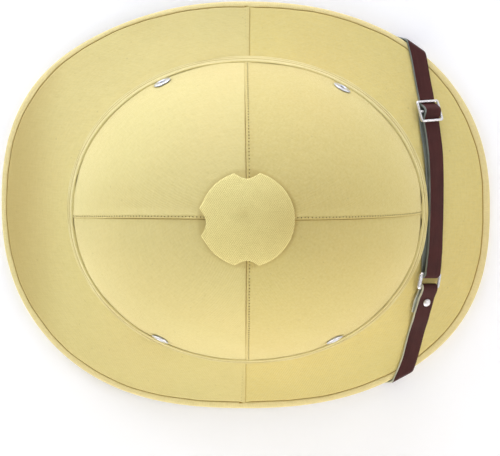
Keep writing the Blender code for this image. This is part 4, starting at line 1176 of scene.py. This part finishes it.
def strapStations(path, slantMark, way):
    # Stations from rows of mark, lift and shift to the front, turned to the rim's line near its fold
    full = leanOnRim(slantMark, way)[2]
    stations = []
    for k, (mark, lift, shift) in enumerate(path):
        foot, ahead, side, up = strapAt(mark)
        before, after = path[max(k - 1, 0)], path[min(k + 1, len(path) - 1)]
        run, rise = after[0] - before[0], after[1] - before[1]
        size = math.hypot(run, rise)
        grain = up * (run / size) - ahead * (rise / size)
        slant = full * (1 - halfWave(0, 1, abs(mark - slantMark) / strap["slantRun"]))
        drawn = 1 - halfWave(0, 1, abs(mark - slantMark) / strap["drawnRun"])
        centre = foot + up * lift + side * (shift + drawn * drawnShift)
        across = (side + ahead * slant) * (1 - drawn * strap["drawn"])
        stations.append(np.concatenate([centre, across, grain]))
    return stations


def rimFold(mark, way, side):
    # Down over the rim, close to it, and on under the brim to the stud
    turn, drift, _ = leanOnRim(mark, way)
    rate = 2e-4 / np.linalg.norm(brimSkin(turn + 1e-4, 1.0) - brimSkin(turn - 1e-4, 1.0))
    radius, straight = strap["foldRadius"], strap["foldDrop"] - 2 * strap["foldRadius"]
    back = strap["foldOut"] - radius

    def bend(turns, drop):
        return [(back + radius * math.sin(a), radius * math.cos(a) - radius - drop, a) for a in turns]

    shape = bend(np.linspace(0, math.pi / 2, 7)[1:], 0)
    shape += [(strap["foldOut"], -radius - straight * f, math.pi / 2) for f in (0.33, 0.67)]
    shape += bend(np.linspace(math.pi / 2, math.pi, 7), straight)
    stations, run, last = [], 0.0, (back, 0.0)
    for reachOut, rise, a in shape:
        run += math.hypot(reachOut - last[0], rise - last[1])
        last = (reachOut, rise)
        rim, line, out, up = rimFrame(turn + rate * drift * (run + back))
        cross = line / (line @ side)
        centre = rim + out * reachOut + up * (lay + rise) + cross * drawnShift
        grain = out * math.sin(a) + up * math.cos(a)
        stations.append(np.concatenate([centre, cross * (1 - strap["drawn"]), grain]))
    start, slantSide, grainStart = stations[-1][:3], stations[-1][3:6], stations[-1][6:]
    place = brimPlace(strap["studAt"][0], strap["studAt"][1] * -way)
    down = outward(brimSkin, place[0], place[1])
    depth = strap["cloth"] + 2 * strap["gap"] + form["wall"] + strap["leather"] / 2
    stop = brimSkin(place[0], place[1]) - down * depth
    leave = unit(line * drift - out)
    reach = np.linalg.norm(stop - start)
    onward = (stop - start) / reach
    onward = unit(onward - down * (onward @ down))
    ends = [start, start + leave * reach * 0.33, stop - onward * reach * 0.33, stop]
    for f in np.linspace(0, 1.1, 12)[1:]:
        if f <= 1.001:
            weights = ((1 - f) ** 3, 3 * f * (1 - f) ** 2, 3 * f * f * (1 - f), f**3)
            centre = sum(w * p for w, p in zip(weights, ends))
            slope = -3 * (1 - f) ** 2 * ends[0] + 3 * (1 - 4 * f + 3 * f * f) * ends[1]
            slope = unit(slope + 3 * (2 * f - 3 * f * f) * ends[2] + 3 * f * f * ends[3])
        else:
            centre, slope = stop + onward * strap["width"] * 0.5, onward
        grain = grainStart * (1 - min(f, 1)) - down * min(f, 1)
        grain = unit(grain - slope * (grain @ slope))
        flat = np.cross(slope, grain)
        flat = flat * math.copysign(1, flat @ slantSide)
        ease = halfWave(0, 1, f / 0.35)
        stations.append(np.concatenate([centre, slantSide * (1 - ease) + flat * ease, grain]))
    return stations


def strapObject(name, stations, thinFrom, leathers):
    # The leather swept along its stations; thinFrom gives the share of its thickness at each
    fine = smoothThrough(stations, 4)
    thin = smoothThrough(np.array(thinFrom)[:, None], 4)[:, 0]
    centre, side, grain = fine[:, :3], fine[:, 3:6], unit(fine[:, 6:])
    section = np.array(strapSection) * mm
    run = runAlong(centre)
    wide = 1 + 0.008 * unevenness(run, run * 0, 0.02, 81)
    rows = []
    for k in range(len(fine)):
        flat, thick = section[:, 0] * wide[k], section[:, 1] * thin[k]
        rows.append(centre[k] + np.outer(flat, side[k]) + np.outer(thick, grain[k]))
    rows = np.array(rows)
    caps = []
    for end, inner in ((0, 1), (-1, -2)):
        bulge = unit(centre[end] - centre[inner]) * 0.00018
        caps.append(centre[end] + (rows[end] - centre[end]) * 0.86 + bulge)
        caps.append(np.tile(centre[end] + bulge, (len(section), 1)))
    rows = np.array([caps[1], caps[0], *rows, caps[2], caps[3]])
    run = np.concatenate([[run[0] - 0.002, run[0] - 0.0005], run, [run[-1] + 0.0005, run[-1] + 0.002]])
    around = runAlong(np.vstack([section, section[:1]]))
    uv = np.stack(np.broadcast_arrays(run[:, None], around[None, :]), -1)
    slots = np.tile(sectionFaces, (len(rows), 1))
    slots[:2] = slots[-3:] = 1
    return gridObject(name, rows, leathers, closeColumns=True, uv=uv, slots=slots)


def ringTurn(centre, way, shift):
    turns = [math.pi * k / 8 for k in range(1, 8)]
    reach = way * barClear
    return [(centre + reach * math.sin(a), ringLift + barClear * math.cos(a), shift) for a in turns]


def upperStrap():
    # from the left stud over the rim, over and under the slide, round the ring and back to the slide
    first, middle, last = strap["slideAt"] - slidePitch, strap["slideAt"], strap["slideAt"] + slidePitch
    bar = strap["ringAt"] - ringPitch
    over = slideLift + barClear + strap["gap"]
    hump, settled = 0.0009, 0.0004
    path = [(mark, lay, 0.0) for mark in (0.0015, 0.003, 0.006, 0.010, 0.014, 0.022, 0.031, first - 0.003)]
    for f in np.linspace(0, 0.875, 8):
        path.append((first + slidePitch * f, halfWave(lay, over, f), halfWave(0.0002, hump, f)))
    for f in np.linspace(0, 1, 9):
        path.append((middle + slidePitch * f, halfWave(over, secondLay, f), halfWave(hump, settled, f)))
    rise = bar - 0.016
    path += [(last + (rise - last) * k / 8, secondLay, settled) for k in range(1, 9)]
    for k in range(1, 5):
        path.append((rise + (bar - rise) * k / 4, halfWave(secondLay, overRing, k / 4), 0.0002))
    path += ringTurn(bar, 1, -0.0003)
    drift = [-0.4, -2.3, -2.4, -1.9, -1.3, -0.9, -0.9, -1.1, -1.5, -1.9, -2.0, -1.7, -1.3]
    back = first + 0.0012
    path += [(bar + (back - bar) * k / 12, lay, shift * mm) for k, shift in enumerate(drift)]
    flat = strapStations(path, 0.0, -1)
    hidden = rimFold(0.0, -1, strapAt(0.0)[2])
    thin = [1.0] * 11 + [0.8] * (len(hidden) - 11) + [0.85, 0.95] + [1.0] * (len(flat) - 2)
    return strapObject("strapUpper", hidden[::-1] + flat, thin, [strapGrain, strapEdgeDark, strapFleshShaded])


def lowerStrap():
    # from its riveted tail round the ring, over the tail, down to the brim and over the rim to the
    # right stud
    bar, end = strap["ringAt"] + ringPitch, strapEnd
    tail = bar + strap["tail"]
    settle = tail + 0.016
    nearRing, atTail, settled = -0.0004, -0.0013, -0.0007   # shifts of the upper layer to the back
    path = []
    for k in range(0, 6):
        path.append((tail - strap["tail"] * k / 5, lay, halfWave(-0.0026, -0.0004, (k - 2) / 3)))
    path += ringTurn(bar, -1, 0.0)[::-1]
    for k in range(0, 5):
        mark = bar + 0.009 * k / 4
        path.append((mark, halfWave(overRing, secondLay, k / 4), halfWave(0.0, nearRing, k / 4)))
    path += [(bar + 0.013, secondLay, -0.0008), (tail, secondLay, atTail)]
    for k in range(1, 7):
        mark = tail + (settle - tail) * k / 6
        path.append((mark, halfWave(secondLay, lay, k / 6), halfWave(atTail, settled, k / 6)))
    for f in (0.3, 0.6, 0.78, 0.88, 0.95):
        path.append((settle + (end - settle) * f, lay, halfWave(settled, 0.0, f / 0.78)))
    path += [(end - 0.0015, lay, 0.0)]
    flat = strapStations(path, end, 1)
    hidden = rimFold(end, 1, strapAt(end)[2])
    thin = [1.0] * (len(flat) - 2) + [0.95, 0.85] + [0.8] * (len(hidden) - 11) + [1.0] * 11
    return strapObject("strapLower", flat + hidden, thin, [strapGrain, strapEdge, strapFleshPale])


wear(upperStrap(), "leather", "strap_upper")
wear(lowerStrap(), "leather", "strap_lower")
print("strap made")


def roundedBar(path, across, up, halfWidth, halfHeight):
    # Rows of a bar's section along a path; across gives the in-plane direction and the width's share
    turn = np.linspace(0, fullTurn, 20, endpoint=False)
    shape = oval(turn, halfWidth, halfHeight, 2.8)
    wide, tall = shape.T
    return np.array([p + np.outer(wide, a) + np.outer(tall, up) for p, a in zip(path, across)])


def frameObject(name, look, bars, place):
    # A flat frame with rounded corners, and its cross bars
    halfLength, halfWidth = look["length"] / 2 - look["half"], look["width"] / 2 - look["half"]
    corner = 0.0011
    path, across = [], []
    for k, (sx, sy) in enumerate([(1, 1), (-1, 1), (-1, -1), (1, -1)]):
        for a in np.linspace(0, math.pi / 2, 6):
            turn = k * math.pi / 2 + a
            x = sx * (halfLength - corner) + corner * math.cos(turn)
            y = sy * (halfWidth - corner) + corner * math.sin(turn)
            path.append([x, y, 0])
            wide = look["leftWide"] if sy < 0 else 1.0
            across.append([wide * math.cos(turn), wide * math.sin(turn), 0])
    up = np.array([0, 0, 1.0])
    rows = roundedBar(np.array(path), np.array(across), up, look["half"], strap["bar"] / 2)
    obj = gridObject(name, rows, [nickel], closeRows=True, closeColumns=True)
    edit = bmesh.new()
    edit.from_mesh(obj.data)
    for k in range(1, bars - 1):
        x = -halfLength + 2 * halfLength * k / (bars - 1)
        ends = np.linspace(-halfWidth, halfWidth, 9)
        line = np.stack([ends * 0 + x, ends, ends * 0], -1)
        bar = roundedBar(line, np.tile([1.0, 0, 0], (9, 1)), up, 0.0008, strap["bar"] / 2 - 0.00005)
        extra = gridObject("bar", bar, [nickel], closeColumns=True)
        edit.from_mesh(extra.data)
        bpy.data.objects.remove(extra)
    bmesh.ops.recalc_face_normals(edit, faces=edit.faces)
    edit.to_mesh(obj.data)
    edit.free()
    obj.data.transform(place)
    obj.data.shade_smooth()
    return wear(obj, "nickel")


foot, ahead, side, up = strapAt(strap["slideAt"])
tip = math.atan2(slideLifts[1] - slideLifts[0], 2 * slidePitch)
along = ahead * math.cos(slide["turn"]) + side * math.sin(slide["turn"])
along, normal = along * math.cos(tip) + up * math.sin(tip), up * math.cos(tip) - along * math.sin(tip)
place = placeAt(foot + up * slideLift + side * slide["shift"], normal, along)
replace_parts(frameObject("slideBuckle", slide, 3, place), "slide_buckle")
foot, ahead, side, up = strapAt(strap["ringAt"])
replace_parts(frameObject("strapRing", loop, 2, placeAt(foot + up * ringLift, up, ahead)), "strap_ring")

foot, ahead, side, up = strapAt(strap["ringAt"] + ringPitch + rivet["after"])
seat = secondLay + strap["leather"] / 2 + rivet["clear"]
rivetProfile = [  # radius and height in mm, from its top to its seat
    (0, 1.30), (0.9, 1.24), (1.7, 0.98), (2.3, 0.58), (2.58, 0.25), (2.65, 0.10), (2.60, 0.0), (1.3, -0.05),
]
profile = smoothThrough(rivetProfile, 3) * mm
shank = [(rivet["shank"], seat - 0.0002), (rivet["shank"], 0.0006), (0, strap["gap"])]
profile = [*(profile + [0, seat]), *shank]
wear(turnedObject("strapRivet", profile, 40, placeAt(foot, up, ahead), rivetMetal), "nickel", "strap_rivet")
for node in ("cap_post", "strap_stud_left", "strap_stud_right"):
    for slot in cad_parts[node].material_slots:
        slot.material = nickel
print("fittings made")

# The photo's view: focal length in pixels of a frame 500 wide, camera place in metres, tilt in radians
view = {
    "focal": 1725.8, "frameWidth": 500, "sensor": 36,
    "place": (0.00173, 0.0646, 1.200), "tilt": {"X": -0.0661, "Y": -0.0002, "Z": 0.011},
}
camera = bpy.data.cameras.new("photoCamera")
camera.sensor_fit = "HORIZONTAL"
camera.lens = view["focal"] / view["frameWidth"] * view["sensor"]
cameraObject = link("photoCamera", camera)
tiltX, tiltY, tiltZ = (Matrix.Rotation(turn, 4, axis) for axis, turn in view["tilt"].items())
cameraObject.matrix_world = Matrix.Translation(view["place"]) @ (tiltX @ tiltY @ tiltZ)
bpy.context.scene.camera = cameraObject

# A pale floor that curves up into walls all round, and gives off a little light of its own
bowl = {"flat": 1.6, "bend": 0.8, "high": 3.6, "glow": 0.11, "tone": 0.95}
bends = np.linspace(0, math.pi / 2, 16)
curve = [(bowl["flat"] + bowl["bend"] * math.sin(a), bowl["bend"] * (1 - math.cos(a))) for a in bends]
profile = [(0, 0), (0.8, 0), *curve, (bowl["flat"] + bowl["bend"], bowl["high"])]
paleFloor, _, shader = newMaterial("paleFloor", 0.9, 0.2)
shader.inputs["Base Color"].default_value = (bowl["tone"], bowl["tone"], bowl["tone"], 1)
shader.inputs["Emission Color"].default_value = (1, 1, 1, 1)
shader.inputs["Emission Strength"].default_value = bowl["glow"]
floor = turnedObject("paleFloor", profile, 96, Matrix.Identity(4), paleFloor)
floor.data.flip_normals()

skyStrength = 0.012
world = bpy.data.worlds.new("studio")
world.use_nodes = True
world.node_tree.nodes["Background"].inputs["Color"].default_value = (1, 1, 1, 1)
world.node_tree.nodes["Background"].inputs["Strength"].default_value = skyStrength
bpy.context.scene.world = world

# name, azimuth, elevation, distance, size, watts, colour
studioLights = [
    ("low45", 45, 12, 1.3, 0.6, 0.5, (1.0, 1.0, 1.0)),
    ("low90", 90, 12, 1.3, 0.6, 7.5, (0.95, 0.98, 1.24)),
    ("low135", 135, 12, 1.3, 0.6, 5.4, (0.92, 1.0, 1.22)),
    ("low180", 180, 12, 1.3, 0.6, 0.8, (0.85, 1.0, 0.97)),
    ("low225", 225, 12, 1.3, 0.6, 3.0, (1.0, 0.94, 0.90)),
    ("low270", 270, 12, 1.3, 0.6, 5.9, (1.03, 0.96, 0.96)),
    ("low315", 315, 12, 1.3, 0.6, 2.4, (1.0, 0.94, 0.87)),
    ("mid0", 0, 42, 1.3, 0.5, 2.7, (1.0, 0.97, 0.92)),
    ("mid135", 135, 42, 1.3, 0.5, 0.6, (1.0, 1.0, 1.0)),
    ("mid180", 180, 42, 1.3, 0.5, 0.8, (0.88, 1.0, 0.95)),
    ("top", 90, 88, 1.5, 0.7, 2.7, (1.0, 1.0, 1.0)),
]
aimHeight = 0.05
for name, azimuth, elevation, distance, size, watts, colour in studioLights:
    light = bpy.data.lights.new(name, "AREA")
    light.shape = "DISK"
    light.size = size
    light.energy = watts
    light.color = colour
    lamp = link(name, light)
    flat, tall = distance * math.cos(deg(elevation)), distance * math.sin(deg(elevation))
    lamp.location = (flat * math.cos(deg(azimuth)), flat * math.sin(deg(azimuth)), tall + aimHeight)
    lamp.rotation_euler = (Vector((0, 0, aimHeight)) - lamp.location).to_track_quat("-Z", "Y").to_euler()
    lamp.visible_camera = False

bpy.context.scene.view_settings.view_transform = "Standard"
